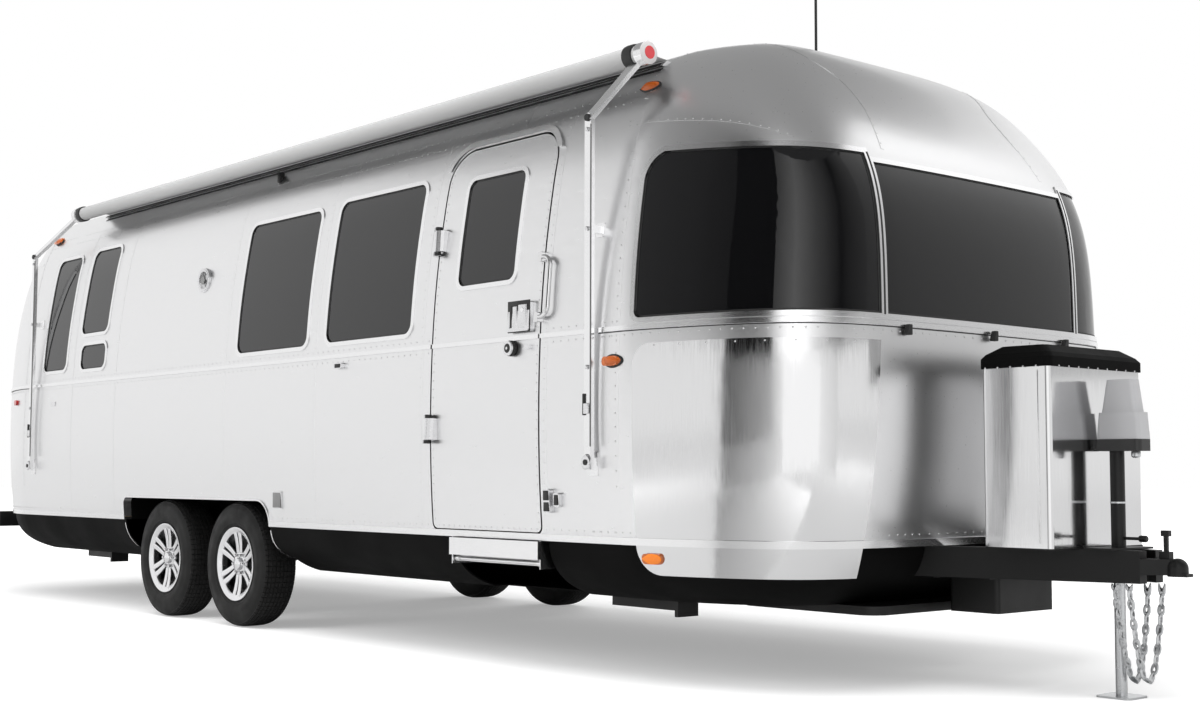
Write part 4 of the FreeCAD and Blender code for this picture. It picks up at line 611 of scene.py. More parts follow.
CAP_EDGE_TO_RIVETS = 0.022
JOINT_WIDTH = 0.016
JOINT_THICK = 0.0009
PETAL_JOINT = (0.018, 0.0011)   # width and thickness of the joints between petals
ROW_HEIGHTS = (0.618, 1.424, 1.482, 2.436, 2.486)
CAP_ROW_HEIGHTS = (0.618, 1.424)
SIDE_JOINTS = (-2.72, -2.06, -0.62, 0.36, 1.33, 2.262)
ROOF_JOINTS = (-2.4, -0.95, 0.5, 1.9)
PETAL_EDGE = ((2.752, -0.66, 2.76), (3.0, -0.63, 2.69), (3.18, -0.58, 2.60), (3.276, -0.51, 2.516),
              (3.36, -0.50, 2.42), (3.437, -0.515, 2.324), (3.53, -0.556, 2.175))
PETAL_FOOT = ((2.752, -1.16, 2.330), (2.943, -1.129, 2.311), (3.125, -1.081, 2.288), (3.288, -1.02, 2.245),
              (3.40, -0.95, 2.195))

satin_sheet, tree, shader, grain = grained(
    "clear-coated aluminium", (0.80, 0.80, 0.805), 1.0, (120.0, 1.7), ("Fine", 0.27, 0.36),
    ("Broad", 0.25, 0.004), "bright_aluminium", stretch=0.12)
shader.inputs["Coat Weight"].default_value = 0.25
shader.inputs["Coat Roughness"].default_value = 0.08

# Sheet joints and rivets are laid on the skin by casting straight in at it from outside.
cast_points = []
cast_faces = []
cast_owner = []
for name in SKIN + OVER_SKIN:
    first = len(cast_points)
    cast_points += [vertex.co.copy() for vertex in nodes[name].data.vertices]
    for face in nodes[name].data.polygons:
        cast_faces.append([first + v for v in face.vertices])
        cast_owner.append(name)
outside = BVHTree.FromPolygons(cast_points, cast_faces)


def on_skin(start, direction, owners):
    """Where a straight line from outside first meets one of the owners, and the normal there."""
    spot, normal, index, _ = outside.ray_cast(Vector(start), Vector(direction).normalized())
    if spot is None or cast_owner[index] not in owners:
        return None
    return spot, normal


def side_ray(x, z, side=-1):
    """Ray straight in at the right side, or at the left."""
    return (x, side * OUTSIDE, z), (0, -side, 0)


def level_line(height, x0, x1, side):
    """Rays straight in at one side of the body at one height, from x0 forward to x1."""
    count = int((x1 - x0) / RAY_STEP)
    places = [x0 + (x1 - x0) * n / count for n in range(count + 1)]
    return [side_ray(x, height, side) for x in places if REAR_CAP_X < x < FRONT_CAP_X]


def upright_line(x, z0, z1, side):
    """Rays straight in at one side of the body at one x, from z0 up to z1."""
    return [side_ray(x, z0 + (z1 - z0) * n / UPRIGHT_RAYS, side) for n in range(UPRIGHT_RAYS + 1)]


def cap_line(height, end, first, last):
    """Rays in at an end cap at one height, between two directions in degrees from straight ahead."""
    rays = []
    middle = Vector((CAP_X[end] - end * 0.2, 0, height))
    for n in range(CAP_RAYS + 1):
        angle = math.radians(first + (last - first) * n / CAP_RAYS)
        outward = Vector((end * math.cos(angle), math.sin(angle), 0))
        rays.append((middle + outward * OUTSIDE, -outward))
    return rays


def arch_line(x, first, last):
    """Rays in at the straight body in one plane across it, between two angles above the floor line."""
    rays = []
    for n in range(ARCH_RAYS + 1):
        angle = math.radians(first + (last - first) * n / ARCH_RAYS)
        outward = Vector((0, math.cos(angle), math.sin(angle)))
        rays.append((Vector((x, 0, ARCH_CENTRE_Z)) + outward * ARCH_RADIUS, -outward))
    return rays


def cast_all(rays, owners=SKIN):
    return [on_skin(start, direction, owners) for start, direction in rays]


def even(spots, pitch):
    """Places a pitch apart along a run of spots, which starts again after any gap."""
    kept = []
    before = None
    left = 0.0
    for spot in spots:
        if spot is None:
            before = None
            left = pitch / 2
            continue
        if before is None:
            before = spot
            continue
        step = (spot[0] - before[0]).length
        before = spot
        if step > pitch * 2:
            continue
        left -= step
        if left <= 0:
            kept.append(spot)
            left = pitch
    return kept


def runs(spots):
    """The stretches of a cast line between its gaps."""
    found = []
    run = []
    for spot in spots + [None]:
        if spot is None or (run and (spot[0] - run[-1][0]).length > LARGEST_GAP):
            if len(run) >= FEWEST_SPOTS:
                found.append(run)
            run = []
        if spot is not None:
            run.append(spot)
    return found


bpy.ops.object.select_all(action="DESELECT")
bpy.ops.mesh.primitive_uv_sphere_add(segments=8, ring_count=6, radius=RIVET_RADIUS)
dome = bpy.context.object
dome.scale = (1, 1, 0.5)
apply_place()
edit_mode(True)
select_mesh()
bpy.ops.mesh.bisect(plane_co=(0, 0, 0), plane_no=(0, 0, 1), clear_inner=True, use_fill=True)
edit_mode(False)
dome_points = [vertex.co.copy() for vertex in dome.data.vertices]
dome_faces = [list(face.vertices) for face in dome.data.polygons]
bpy.data.objects.remove(dome)


def from_faces(name, points, faces):
    """A new active object from points and faces."""
    mesh = bpy.data.meshes.new(name)
    mesh.from_pydata(points, [], faces)
    piece = bpy.data.objects.new(name, mesh)
    bpy.context.collection.objects.link(piece)
    bpy.ops.object.select_all(action="DESELECT")
    piece.select_set(True)
    bpy.context.view_layer.objects.active = piece


def rivets(name, spots, body, lift=0.0, material=satin_sheet):
    """One piece of copies of the rivet head, standing on the given spots."""
    points = []
    faces = []
    for spot, normal in spots:
        turn = normal.to_track_quat("Z", "X")
        first = len(points)
        points += [spot + normal * lift + turn @ point for point in dome_points]
        faces += [[first + v for v in face] for face in dome_faces]
    from_faces(name, points, faces)
    bpy.ops.object.shade_smooth()
    finished(name, material, body)


def ribbon(name, spots, width, thick, material, slot):
    """Flat strip of even width that follows spots on the skin."""
    points = []
    faces = []
    for n, (spot, normal) in enumerate(spots):
        ahead = spots[min(n + 1, len(spots) - 1)][0] - spots[max(n - 1, 0)][0]
        across = normal.cross(ahead).normalized() * width / 2
        top = spot + normal * thick
        points += [spot - across, top - across * 0.94, top + across * 0.94, spot + across]
        if n:
            a = 4 * (n - 1)
            b = 4 * n
            for k in range(3):
                faces.append([a + k, a + k + 1, b + k + 1, b + k])
            faces.append([a + 3, a, b, b + 3])
    last = len(points) - 4
    faces += [[3, 2, 1, 0], [last, last + 1, last + 2, last + 3]]
    from_faces(name, points, faces)
    edit_mode(True)
    face_outwards()
    smooth(30)
    finished(name, material)


strip_number = itertools.count(1)


def strips(name, rays, owners, step, width, thick, material, slot):
    """A ribbon along each run of a cast line, through every step-th spot of it."""
    for run in runs(cast_all(rays, owners)):
        ribbon("%s_%02d" % (name, next(strip_number)), run[::step] + [run[-1]], width, thick, material, slot)


side_spots = []
for side in (-1, 1):
    for height in ROW_HEIGHTS:
        side_spots += even(cast_all(level_line(height, REAR_CAP_X, FRONT_CAP_X, side)), RIVET_PITCH)
    for x in SIDE_JOINTS:
        side_spots += even(cast_all(upright_line(x - JOINT_TO_RIVETS, 0.62, 2.42, side)), RIVET_PITCH)
rivets("side_rivets", side_spots, "trailer")
cap_spots = []
for end in (1, -1):
    for height in CAP_ROW_HEIGHTS:
        cap_spots += even(cast_all(cap_line(height, end, -90, 90)), RIVET_PITCH)
    cap_spots += even(cast_all(arch_line(CAP_X[end] - end * CAP_EDGE_TO_RIVETS, -28, 208)), RIVET_PITCH)
for x in ROOF_JOINTS:
    cap_spots += even(cast_all(arch_line(x, 42, 138)), RIVET_PITCH)

# Joints of the sheets: on each side, round both ends of the straight body, and between the
# formed petals of the two caps, the front ones from the roof down to the window posts.
joint_rays = [arch_line(CAP_X[end] - end * CAP_EDGE_TO_JOINT, -28, 208) for end in (1, -1)]
joint_rays += [arch_line(x, 40, 140) for x in ROOF_JOINTS]
joint_rays += [upright_line(x, 0.605, 2.46, side) for side in (-1, 1) for x in SIDE_JOINTS]
for rays in joint_rays:
    strips("sheet_joint", rays, SKIN, 2, JOINT_WIDTH, JOINT_THICK, satin_sheet, "bright_aluminium")


def laid(path, side, end):
    """Spots on a cap under a coarse path, smoothed by a curve through its points."""
    curve = bpy.data.curves.new("joint path", "CURVE")
    curve.dimensions = "3D"
    spline = curve.splines.new("NURBS")
    spline.points.add(len(path) - 1)
    for point, (x, y, z) in zip(spline.points, path):
        point.co = (CAP_X[end] + end * (x - FRONT_CAP_X), -y * side, z, 1)
    spline.order_u = 3
    spline.use_endpoint_u = True
    spline.resolution_u = 10
    holder = bpy.data.objects.new("joint path", curve)
    mesh = bpy.data.meshes.new_from_object(holder)
    spots = []
    centre = Vector((CAP_X[end], 0, 1.5))
    for vertex in mesh.vertices:
        outward = (vertex.co - centre).normalized()
        spots.append(on_skin(vertex.co + outward * 0.6, -outward, SKIN))
    bpy.data.objects.remove(holder)
    return [spot for spot in spots if spot]


for end in (1, -1):
    for side in (1, -1):
        for path in (PETAL_EDGE, PETAL_FOOT):
            spots = laid(path, side, end)
            if len(spots) < 4:
                continue
            ribbon("sheet_joint_%02d" % next(strip_number), spots, *PETAL_JOINT, satin_sheet,
                   "bright_aluminium")
            cap_spots += even(spots, PETAL_PITCH)
rivets("cap_rivets", cap_spots, "trailer", 0.0006)

# ---------------------------------------------------------------- bright trim
# Anodised extrusions: belt rail, hem strip, wheel-opening edge, drip moulding, window frames.
# They stay as they are, with a fine drawn grain along them; a thin black strip under the rail round the caps
# is painted shade.
BELT_SHADE_Z = 1.4405

anodised = grained("anodised extrusion", (0.84, 0.84, 0.845), 1.0, (400.0, 5.0), ("Fine", 0.16, 0.26),
                   ("Fine", 0.1, 0.0003), "trim_aluminium", stretch=0.05)[0]
black_rubber = grained("black sealing rubber", (0.012, 0.012, 0.012), 0.0, (600.0, 12.0),
                       ("Broad", 0.45, 0.65), ("Fine", 0.2, 0.0003))[0]
# Painted shade: a thin black strip just under the belt rail, round both caps.
for end in (1, -1):
    strips("belt_shade_line", cap_line(BELT_SHADE_Z, end, -90, 90), SKIN, 2, 0.0045, 0.002, black_rubber,
           "black_plastic")

# ---------------------------------------------------------------- stone guards
# Stainless sheets round the two front corners, polished bright, with faint upright polishing
# lines; a row of screws holds their edges, and a clip holds each of the front window's covers.
STEEL = (0.72, 0.72, 0.725)
COVER_BACK = (3.8345, 3.8325)   # the gas cover's back, painted dark as painted shade, lies behind these, from bright to dark
COVER_SHADED_SIDE = (-0.04, -0.22)
SCREW_ROW_Z = 1.374
SCREW_PITCH = 0.12
SCREW_ROWS = ((-88, -36), (36, 88))     # directions round the front, in degrees from straight ahead
CLIP_SIZE = (0.024, 0.034, 0.042)
CLIPS = (("right", 3.634, -0.549, 1.432), ("left", 3.634, 0.549, 1.432), ("middle", 3.652, 0.0, 1.436))

polished = ("polished stainless", STEEL, 1.0, (210.0, 1.1), ("Fine", 0.06, 0.17), ("Broad", 0.12, 0.004))
mirror_steel = grained(*polished, "polished_steel", upright=0.03)[0]
# The back of the gas cover, towards the body, is painted dark on its right half, as painted shade of the gap
# behind it.
cover_steel = mirror_steel.copy()
cover_steel.name = "gas cover stainless"
tree = cover_steel.node_tree
shader = tree.nodes["Principled BSDF"]
painted_shade = combined(tree, "MULTIPLY", step_mask(tree, "X", *COVER_BACK), step_mask(tree, "Y", *COVER_SHADED_SIDE))
two_colours(tree, painted_shade, STEEL, (0.012, 0.012, 0.012), shader)
tree.links.new(combined(tree, "SUBTRACT", 1.0, painted_shade), shader.inputs["Metallic"])
paint_node("gas_cover", cover_steel)

guard_spots = []
for first, last in SCREW_ROWS:
    guard_spots += even(cast_all(cap_line(SCREW_ROW_Z, 1, first, last), ("corner_guards",)), SCREW_PITCH)
rivets("guard_screws", guard_spots, "trailer")
for name, x, y, z in CLIPS:
    clip = plain_box(CLIP_SIZE, (x + CLIP_SIZE[0] / 2, y, z))
    divide(2)
    for vertex in clip.data.vertices:
        lean = (vertex.co.z - z) / CLIP_SIZE[2]
        vertex.co.x += 0.006 * lean
        vertex.co.y = y + (vertex.co.y - y) * (0.8 - 0.4 * lean)
    rounded(clip, 0.0035, 2)
    smooth(35)
    finished("cover_clip_" + name, black_rubber)

# ---------------------------------------------------------------- windows
# Dark-tinted toughened panes, a little wavy as such glass is, each with a black edge seal
# between the pane and its bright frame.
SEAL_WIDTH = 0.014
SEAL_DEPTH = 0.0016
OUTER_FACE = 0.45               # a pane's faces that look outwards less than this aren't its outer face
POST_Y = 0.668                  # middle of the two posts between the front panes

tint, tree, shader = new_material("tinted glass", (0.010, 0.010, 0.011), 0.03)
shader.inputs["IOR"].default_value = 1.5
shader.inputs["Transmission Weight"].default_value = 0.6
grain = new_node(tree, "Group", {"Fine Scale": 2.0, "Broad Scale": 0.7}, node_tree=grain_group).outputs
bumped(tree, grain["Broad"], 0.04, 0.002, shader)
dress("tinted_glass", tint)


def edge_seal(source, name, body="trailer"):
    """Black seal along the edge of every pane of a glass node, on its outer face."""
    seal = opened_copy(source)
    bpy.ops.mesh.select_mode(type="FACE")
    select_mesh("DESELECT")
    edit_mode(False)
    for face in seal.data.polygons:
        middle = face.center
        ahead = min(max(middle.x, REAR_CAP_X + 0.3), FRONT_CAP_X - 0.3)
        outward = Vector((middle.x - ahead, middle.y, 0)).normalized()
        face.select = face.normal.dot(outward) < OUTER_FACE
    edit_mode(True)
    bpy.ops.mesh.delete(type="FACE")
    select_mesh()
    bpy.ops.mesh.inset(thickness=SEAL_WIDTH, use_boundary=True, use_even_offset=True)
    bpy.ops.mesh.delete(type="FACE")
    select_mesh()
    bpy.ops.mesh.extrude_region_shrink_fatten(TRANSFORM_OT_shrink_fatten={"value": SEAL_DEPTH})
    face_outwards()
    smooth(30)
    finished(name, black_rubber, body)


edge_seal("cabin_glass", "side_window_seals")
edge_seal("front_glass", "front_window_seals")
edge_seal("door_glass", "door_window_seal", "entry_door")
for side in (-1, 1):
    rays = [((6.0, side * POST_Y, 1.487 + 0.012 * n), (-1, 0, 0)) for n in range(56)]
    strips("post_infill", rays, ("window_frames",), 3, 0.009, 0.0012, black_rubber, "black_plastic")

# ---------------------------------------------------------------- entry door
# Riveted aluminium door on two cast hinges with black caps: a black ball grip, a lock plate
# with a sunk pull, and a row of rivets round its edge.
DOOR_PITCH = 0.036
DOOR_EDGE = 0.014               # from the door's edge to its rivets
DOOR_CORNER = 0.15              # radius of its two upper corners
PANEL = ("door_panel",)
HARDWARE = ("door_hardware",)
GRIP_FROM_EDGE = 0.184
GRIP_Z = 1.41
LOCK_FROM_EDGE = 0.090
LOCK_Z = 1.548
HINGE_HEIGHTS = (1.065, 1.955)
HINGE_LEAN_SPAN = 0.03          # the hinge's lean is read this far below and above its middle
HINGE_CAPS = (("low", -0.0512, -0.0672), ("high", 0.0512, 0.0672))
HINGE_RADIUS = 0.0162

fitting_steel = grained("brushed fitting", (0.74, 0.74, 0.75), 1.0, (500.0, 8.0), ("Fine", 0.18, 0.34),
                        ("Fine", 0.1, 0.0003), "fitting_metal", stretch=0.1)[0]

door_low, door_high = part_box("door_panel")
corners = ((door_low[0] + DOOR_CORNER, -1), (door_high[0] - DOOR_CORNER, 1))
door_rays = [upright_line(x, door_low[2] + 0.03, door_high[2] - 0.14, -1)
             for x in (door_low[0] + DOOR_EDGE, door_high[0] - DOOR_EDGE)]
door_rays.append(level_line(door_low[2] + DOOR_EDGE, door_low[0] + 0.03, door_high[0] - 0.03, -1))
for corner_x, way in corners:
    arc = []
    for n in range(40):
        angle = math.radians(90 * n / 39)
        x = corner_x + way * (DOOR_CORNER - DOOR_EDGE) * math.cos(angle)
        arc.append(side_ray(x, door_high[2] - DOOR_CORNER + (DOOR_CORNER - DOOR_EDGE) * math.sin(angle)))
    door_rays.append(arc)
door_rays.append(level_line(door_high[2] - DOOR_EDGE, corners[1][0] - 0.5, corners[1][0], -1))
door_spots = []
for rays in door_rays:
    door_spots += even(cast_all(rays, PANEL), DOOR_PITCH)
rivets("door_rivets", door_spots, "entry_door")

grip_x = door_high[0] - GRIP_FROM_EDGE
grip_y = on_skin(*side_ray(grip_x, GRIP_Z), HARDWARE)[0].y
turned("door_ball_grip", [
    (0.0, 0.002), (0.0340, 0.002), (0.0355, -0.002), (0.0350, -0.014), (0.0300, -0.0225), (0.0200, -0.0280),
    (0.0, -0.0300)], (grip_x, grip_y + 0.0275, GRIP_Z), "Y", 32, black_rubber, "entry_door")
turned("door_grip_lock", [(0.0, 0.0), (0.0065, 0.0), (0.0065, -0.0015), (0.0, -0.0015)],
       (grip_x, grip_y - 0.0023, GRIP_Z), "Y", 16, fitting_steel, "entry_door")


def block(name, corner, opposite, material, width, segments=2, body="trailer"):
    """Rounded block between two opposite corners."""
    low = [min(a, b) for a, b in zip(corner, opposite)]
    high = [max(a, b) for a, b in zip(corner, opposite)]
    shape = plain_box([b - a for a, b in zip(low, high)], [(a + b) / 2 for a, b in zip(low, high)])
    rounded(shape, width, segments)
    smooth(35)
    finished(name, material, body)


lock_y = on_skin(*side_ray(door_high[0] - LOCK_FROM_EDGE, LOCK_Z), HARDWARE)[0].y
for name, corner, opposite, material, slot, width, segments in (
        ("lock_key_pad", (-0.126, -0.004, 1.497), (-0.068, 0.004, 1.600), fitting_steel, "fitting_metal",
         0.0035, 3),
        ("lock_sunk_pull", (-0.190, -0.0012, 1.498), (-0.172, 0.012, 1.598), black_rubber, "black_plastic",
         0.002, 2),
        ("lock_pull_lever", (-0.168, -0.0022, 1.502), (-0.136, 0.010, 1.594), fitting_steel, "fitting_metal",
         0.003, 2),
        ("lock_plate_rubber", (-0.2060, 0.0015, 1.4780), (-0.0480, 0.0040, 1.6180), black_rubber,
         "black_plastic", 0.001, 2)):
    block(name, (door_high[0] + corner[0], lock_y + corner[1], corner[2]),
          (door_high[0] + opposite[0], lock_y + opposite[1], opposite[2]), material, width, segments,
          "entry_door")
turned("lock_barrel", [(0.0, 0.004), (0.011, 0.004), (0.011, -0.001), (0.010, -0.002), (0.0, -0.002)],
       (door_high[0] - 0.097, lock_y - 0.004, 1.575), "Y", 20, anodised, "entry_door")

hinge_x = door_low[0] + 0.010
for number, height in enumerate(HINGE_HEIGHTS):
    below, level, above = [on_skin(*side_ray(hinge_x, height + rise), HARDWARE)[0].y
                           for rise in (-HINGE_LEAN_SPAN, 0.0, HINGE_LEAN_SPAN)]
    lean = (above - below) / (2 * HINGE_LEAN_SPAN)
    for name, near, distant in HINGE_CAPS:
        middle = height + (near + distant) / 2
        half = abs(distant - near) / 2
        turned("hinge_%d_%s_cap" % (number, name), [
            (0.0, -half), (HINGE_RADIUS, -half), (HINGE_RADIUS, half), (0.0, half)],
            (hinge_x, level + 0.0150 + (middle - height) * lean, middle), "Z", 24, black_rubber)

# ---------------------------------------------------------------- gas cover and bottles
# Stainless cover with a black moulded lid; bright studs hold the lid's rim, and a bead runs
# down each front corner of the cover.  The bottles are white enamel.
ENAMEL_WHITE = (0.72, 0.72, 0.71)
SIDE_STUDS = 5
FRONT_STUDS = 9
FRONT_STUD_SPAN = 0.54

_, tree, shader, grain = grained(
    "white enamel", ENAMEL_WHITE, 0.0, (500.0, 9.0), ("Broad", 0.24, 0.4), ("Fine", 0.1, 0.0003),
    "white_steel")
dusted(tree, ENAMEL_WHITE, (0.4, 0.37, 0.32), 1.0, 0.3, shader)

lid_low, lid_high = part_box("gas_lid")
cover_low, cover_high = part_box("gas_cover")
stud_z = lid_low[2] + 0.012
studs = []
for n in range(SIDE_STUDS):
    x = cover_low[0] + 0.05 + (cover_high[0] - cover_low[0] - 0.10) * n / (SIDE_STUDS - 1)
    for side in (-1, 1):
        studs.append((Vector((x, side * lid_high[1], stud_z)), Vector((0, side, 0))))
for n in range(FRONT_STUDS):
    y = FRONT_STUD_SPAN * n / (FRONT_STUDS - 1) - FRONT_STUD_SPAN / 2
    studs.append((Vector((lid_high[0], y, stud_z)), AXES["X"]))
rivets("lid_studs", studs, "gas_cover_lid", 0.0, fitting_steel)
half_width = abs(cover_low[1])
for side, hand in ((-1, "right"), (1, "left")):
    block("cover_corner_bead_" + hand,
          (cover_high[0] - 0.052, side * (half_width - 0.0008), cover_low[2] + 0.02),
          (cover_high[0] - 0.046, side * (half_width + 0.0025), lid_low[2] - 0.004),
          anodised, 0.001)

# ---------------------------------------------------------------- awning
# Rolled cloth on an aluminium tube, hung from a rail on the wall, with two folded arms.  The
# cloth crosses from the rail to the roll in a shallow sag; black collars and round red-centred
# caps close the roll's ends.
CLOTH_THICK = 0.0012
CLOTH_GRID = (96, 14)
ROLL_SHADOW_LINES = ((2.600, ("awning_arms",)), (2.577, SKIN))      # height, and what each painted shadow strip lies on
ARM_HALF = 0.0205
ARM_XS = (("rear", -3.327), ("front", 2.580))
ARM_BOLTS = (0.93, 1.30, 1.88, 2.30)
ARM_FOOT_Z = 0.905
ARM_KNEE_Z = 2.35

cloth, tree, shader, grain = grained(
    "awning cloth", (0.36, 0.36, 0.36), 0.0, (1400.0, 2.5), ("Broad", 0.7, 0.9), ("Fine", 0.4, 0.0006),
    "awning_cloth", stretch=0.25)
two_colours(tree, grain["Broad"], (0.33, 0.33, 0.33), (0.41, 0.41, 0.41), shader)
cap_red = grained("red cap plastic", (0.62, 0.05, 0.06), 0.0, (500.0, 15.0), ("Broad", 0.25, 0.4))[0]
pale_cap = grained("pale cap plastic", (0.62, 0.60, 0.60), 0.0, (500.0, 15.0), ("Broad", 0.3, 0.45))[0]
hatch_grey = grained("grey hatch plastic", (0.16, 0.16, 0.16), 0.0, (500.0, 12.0), ("Broad", 0.4, 0.6),
                     ("Fine", 0.2, 0.0004))[0]

flap_low, flap_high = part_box("awning_flap")
roll_low, roll_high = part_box("awning_roller")
roll_y = (roll_low[1] + roll_high[1]) / 2
roll_z = (roll_low[2] + roll_high[2]) / 2
roll_r = (roll_high[2] - roll_low[2]) / 2
bpy.ops.object.select_all(action="DESELECT")
bpy.ops.mesh.primitive_grid_add(x_subdivisions=CLOTH_GRID[0], y_subdivisions=CLOTH_GRID[1], size=1)
flap = bpy.context.object
width = flap_high[1] - flap_low[1]
length = flap_high[0] - flap_low[0]
for vertex in flap.data.vertices:
    along = vertex.co.x + 0.5
    across = vertex.co.y + 0.5
    ripple = 0.0012 * math.sin(along * 61.0) + 0.0008 * math.sin(along * 173.0 + across * 2.0)
    sag = (0.007 + ripple * 2) * math.sin(math.pi * across)
    height = flap_high[2] - 0.0015 + (flap_low[2] + 0.0035 - flap_high[2]) * across - sag
    if across < 0.06:           # the edge on the roll rests on it
        height = max(height, roll_z + roll_r + CLOTH_THICK)
    vertex.co = Vector((flap_low[0] + length * along, flap_low[1] + width * across, height))
hem = flap.modifiers.new("cloth", "SOLIDIFY")
hem.thickness = CLOTH_THICK
hem.offset = 1.0
bpy.ops.object.modifier_apply(modifier="cloth")
bpy.ops.object.shade_smooth()
flap = finished("awning_cloth_strip", cloth)
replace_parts(flap, "awning_flap")
paint_node("awning_roller", cloth)
# Painted shadow: black strips at two heights just under the roll, where its shadow falls.
for height, owners in ROLL_SHADOW_LINES:
    strips("roll_painted_shadow", level_line(height, -2.81, 2.72, -1), owners, 6, 0.021, 0.0012, black_rubber,
           "black_plastic")
for name, start, way in (("front", roll_high[0], 1), ("rear", roll_low[0], -1)):
    turned("roll_collar_" + name, [
        (roll_r - 0.002, -0.074 * way), (roll_r + 0.0070, -0.072 * way), (roll_r + 0.0085, -0.060 * way),
        (roll_r + 0.0085, -0.032 * way), (roll_r + 0.0070, -0.020 * way), (roll_r - 0.002, -0.018 * way),
        (roll_r - 0.002, -0.074 * way)], (start, roll_y, roll_z), "X", 40, black_rubber)
    end = start + way * 0.0442
    turned("roll_end_cap_" + name, [
        (0.0, 0.0), (roll_r + 0.0062, 0.0), (roll_r + 0.0062, 0.002 * way), (roll_r - 0.001, 0.007 * way),
        (0.024, 0.008 * way), (0.0, 0.008 * way)], (end, roll_y, roll_z), "X", 40, pale_cap)
    turned("roll_cap_disc_" + name, [
        (0.0, 0.0), (0.0275, 0.0), (0.0275, 0.001 * way), (0.0260, 0.0022 * way), (0.0, 0.0026 * way)],
        (end + way * 0.008, roll_y, roll_z), "X", 32, cap_red)

hook_spot = on_skin((-0.381, -2.0, 2.75), (0, 0.94, -0.22), SKIN)
if hook_spot:
    block("pull_strap_hook", hook_spot[0] + Vector((-0.012, -0.030, -0.03)),
          hook_spot[0] + Vector((0.012, 0.006, 0.03)), black_rubber, 0.004)
arm_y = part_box("awning_arms")[0][1]
for end, x in ARM_XS:
    for number, height in enumerate(ARM_BOLTS):
        turned("arm_bolt_%s_%d" % (end, number), [
            (0.0, 0.004), (0.0095, 0.004), (0.0095, -0.001), (0.007, -0.003), (0.0, -0.003)],
            (x, arm_y, height), "Y", 12, fitting_steel)
    turned("arm_knee_cap_" + end, [
        (0.0, 0.006), (0.016, 0.006), (0.016, -0.001), (0.013, -0.004), (0.0, -0.004)],
        (x, arm_y, ARM_KNEE_Z), "Y", 20, black_rubber)
    # Painted shade: a thin grey strip down the forward side of each arm.
    block("arm_side_shade_" + end, (x + ARM_HALF, arm_y + 0.001, 0.97),
          (x + ARM_HALF + 0.002, arm_y + 0.009, 2.32), hatch_grey, 0.0006, 1)
    block("arm_slider_" + end, (x - ARM_HALF - 0.0035, arm_y - 0.002, 1.100),
          (x - ARM_HALF + 0.008, arm_y + 0.012, 1.190), black_rubber, 0.003)
    block("arm_lock_" + end, (x - ARM_HALF + 0.004, arm_y - 0.0035, 1.105),
          (x + ARM_HALF - 0.004, arm_y + 0.003, 1.150), fitting_steel, 0.004, 3)
    turned("arm_foot_boss_" + end, [
        (0.0, 0.006), (0.030, 0.006), (0.030, -0.001), (0.026, -0.004), (0.0, -0.004)],
        (x, arm_y, ARM_FOOT_Z), "Y", 28, fitting_steel)
    turned("arm_foot_pin_" + end, [(0.0, 0.0), (0.012, 0.0), (0.012, -0.0045), (0.0, -0.0045)],
           (x, arm_y - 0.003, ARM_FOOT_Z), "Y", 16, black_rubber)

# ---------------------------------------------------------------- roof equipment
# White moulded air conditioner shrouds with dark louvres at their sides, white vents, and a
# whip antenna in a black sleeve.
SHROUD_XS = (-2.43, 0.395)
LOUVRES = 6
LOUVRE_PITCH = 0.013
SLEEVE_FOOT = (2.690, 0.0, 2.7698)

_, tree, shader, grain = grained(
    "roof white", ENAMEL_WHITE, 0.0, (350.0, 3.0), ("Broad", 0.4, 0.6), ("Fine", 0.2, 0.0005), "roof_white")
two_colours(tree, grain["Broad"], (0.62, 0.62, 0.60), (0.76, 0.76, 0.75), shader)
roof_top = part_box("roof_equipment")[1][2]
turned("antenna_sleeve", [
    (0.0, 0.0), (0.0280, 0.0), (0.0285, 0.020), (0.0200, 0.0375), (0.0070, 0.045), (0.0065, 0.06),
    (0.0065, 0.20), (0.0065, roof_top - 2.7705), (0.0, roof_top - 2.7702)],
    SLEEVE_FOOT, "Z", 20, black_rubber)
for number, x in enumerate(SHROUD_XS):
    for side, hand in ((-1, "right"), (1, "left")):
        for row in range(LOUVRES):
            block("shroud_louvre_%d_%s_%d" % (number, hand, row),
                  (x - 0.33, side * 0.3475, 2.792 + LOUVRE_PITCH * row),
                  (x + 0.16, side * 0.3515, 2.799 + LOUVRE_PITCH * row),
                  belly_black, 0.0012, 1)

# ---------------------------------------------------------------- lamps
# Moulded lenses: teardrop markers with dark amber lenses in black rims, orange ones on the
# guards, red rear lamps.  The lens colour of the lamp bodies follows their place on the body.
MARKERS = (("lower", 2.696, 1.321), ("upper", 2.715, 2.492), ("rear_upper", -3.430, 2.492))
GUARD_MARKER = (2.898, 0.517)
SEAT_HEIGHT = 0.0145
# the left lenses may not widen the body
LENS_LIFT = {-1: 0.0235, 1: 0.0144}     # the left lenses stand lower, within the body's width
BODY_AMBER = (0.45, 0.10, 0.008)

_, tree, shader, grain = grained(
    "lamp body", BODY_AMBER, 0.0, (240.0, 60.0), ("Fine", 0.2, 0.4), ("Broad", 0.3, 0.0008), "lens")
two_colours(tree, step_mask(tree, "X", -3.66, -3.6), (0.40, 0.010, 0.009), BODY_AMBER, shader)
shader.inputs["Coat Weight"].default_value = 0.5


def lens_glass(name, dark, bright):
    """Moulded lens in two shades of one colour."""
    material, tree, shader, grain = grained(
        name, (0.40, 0.09, 0.008), 0.0, (240.0, 60.0), ("Fine", 0.1, 0.22), ("Broad", 0.3, 0.0008))
    two_colours(tree, grain["Fine"], dark, bright, shader)
    return material


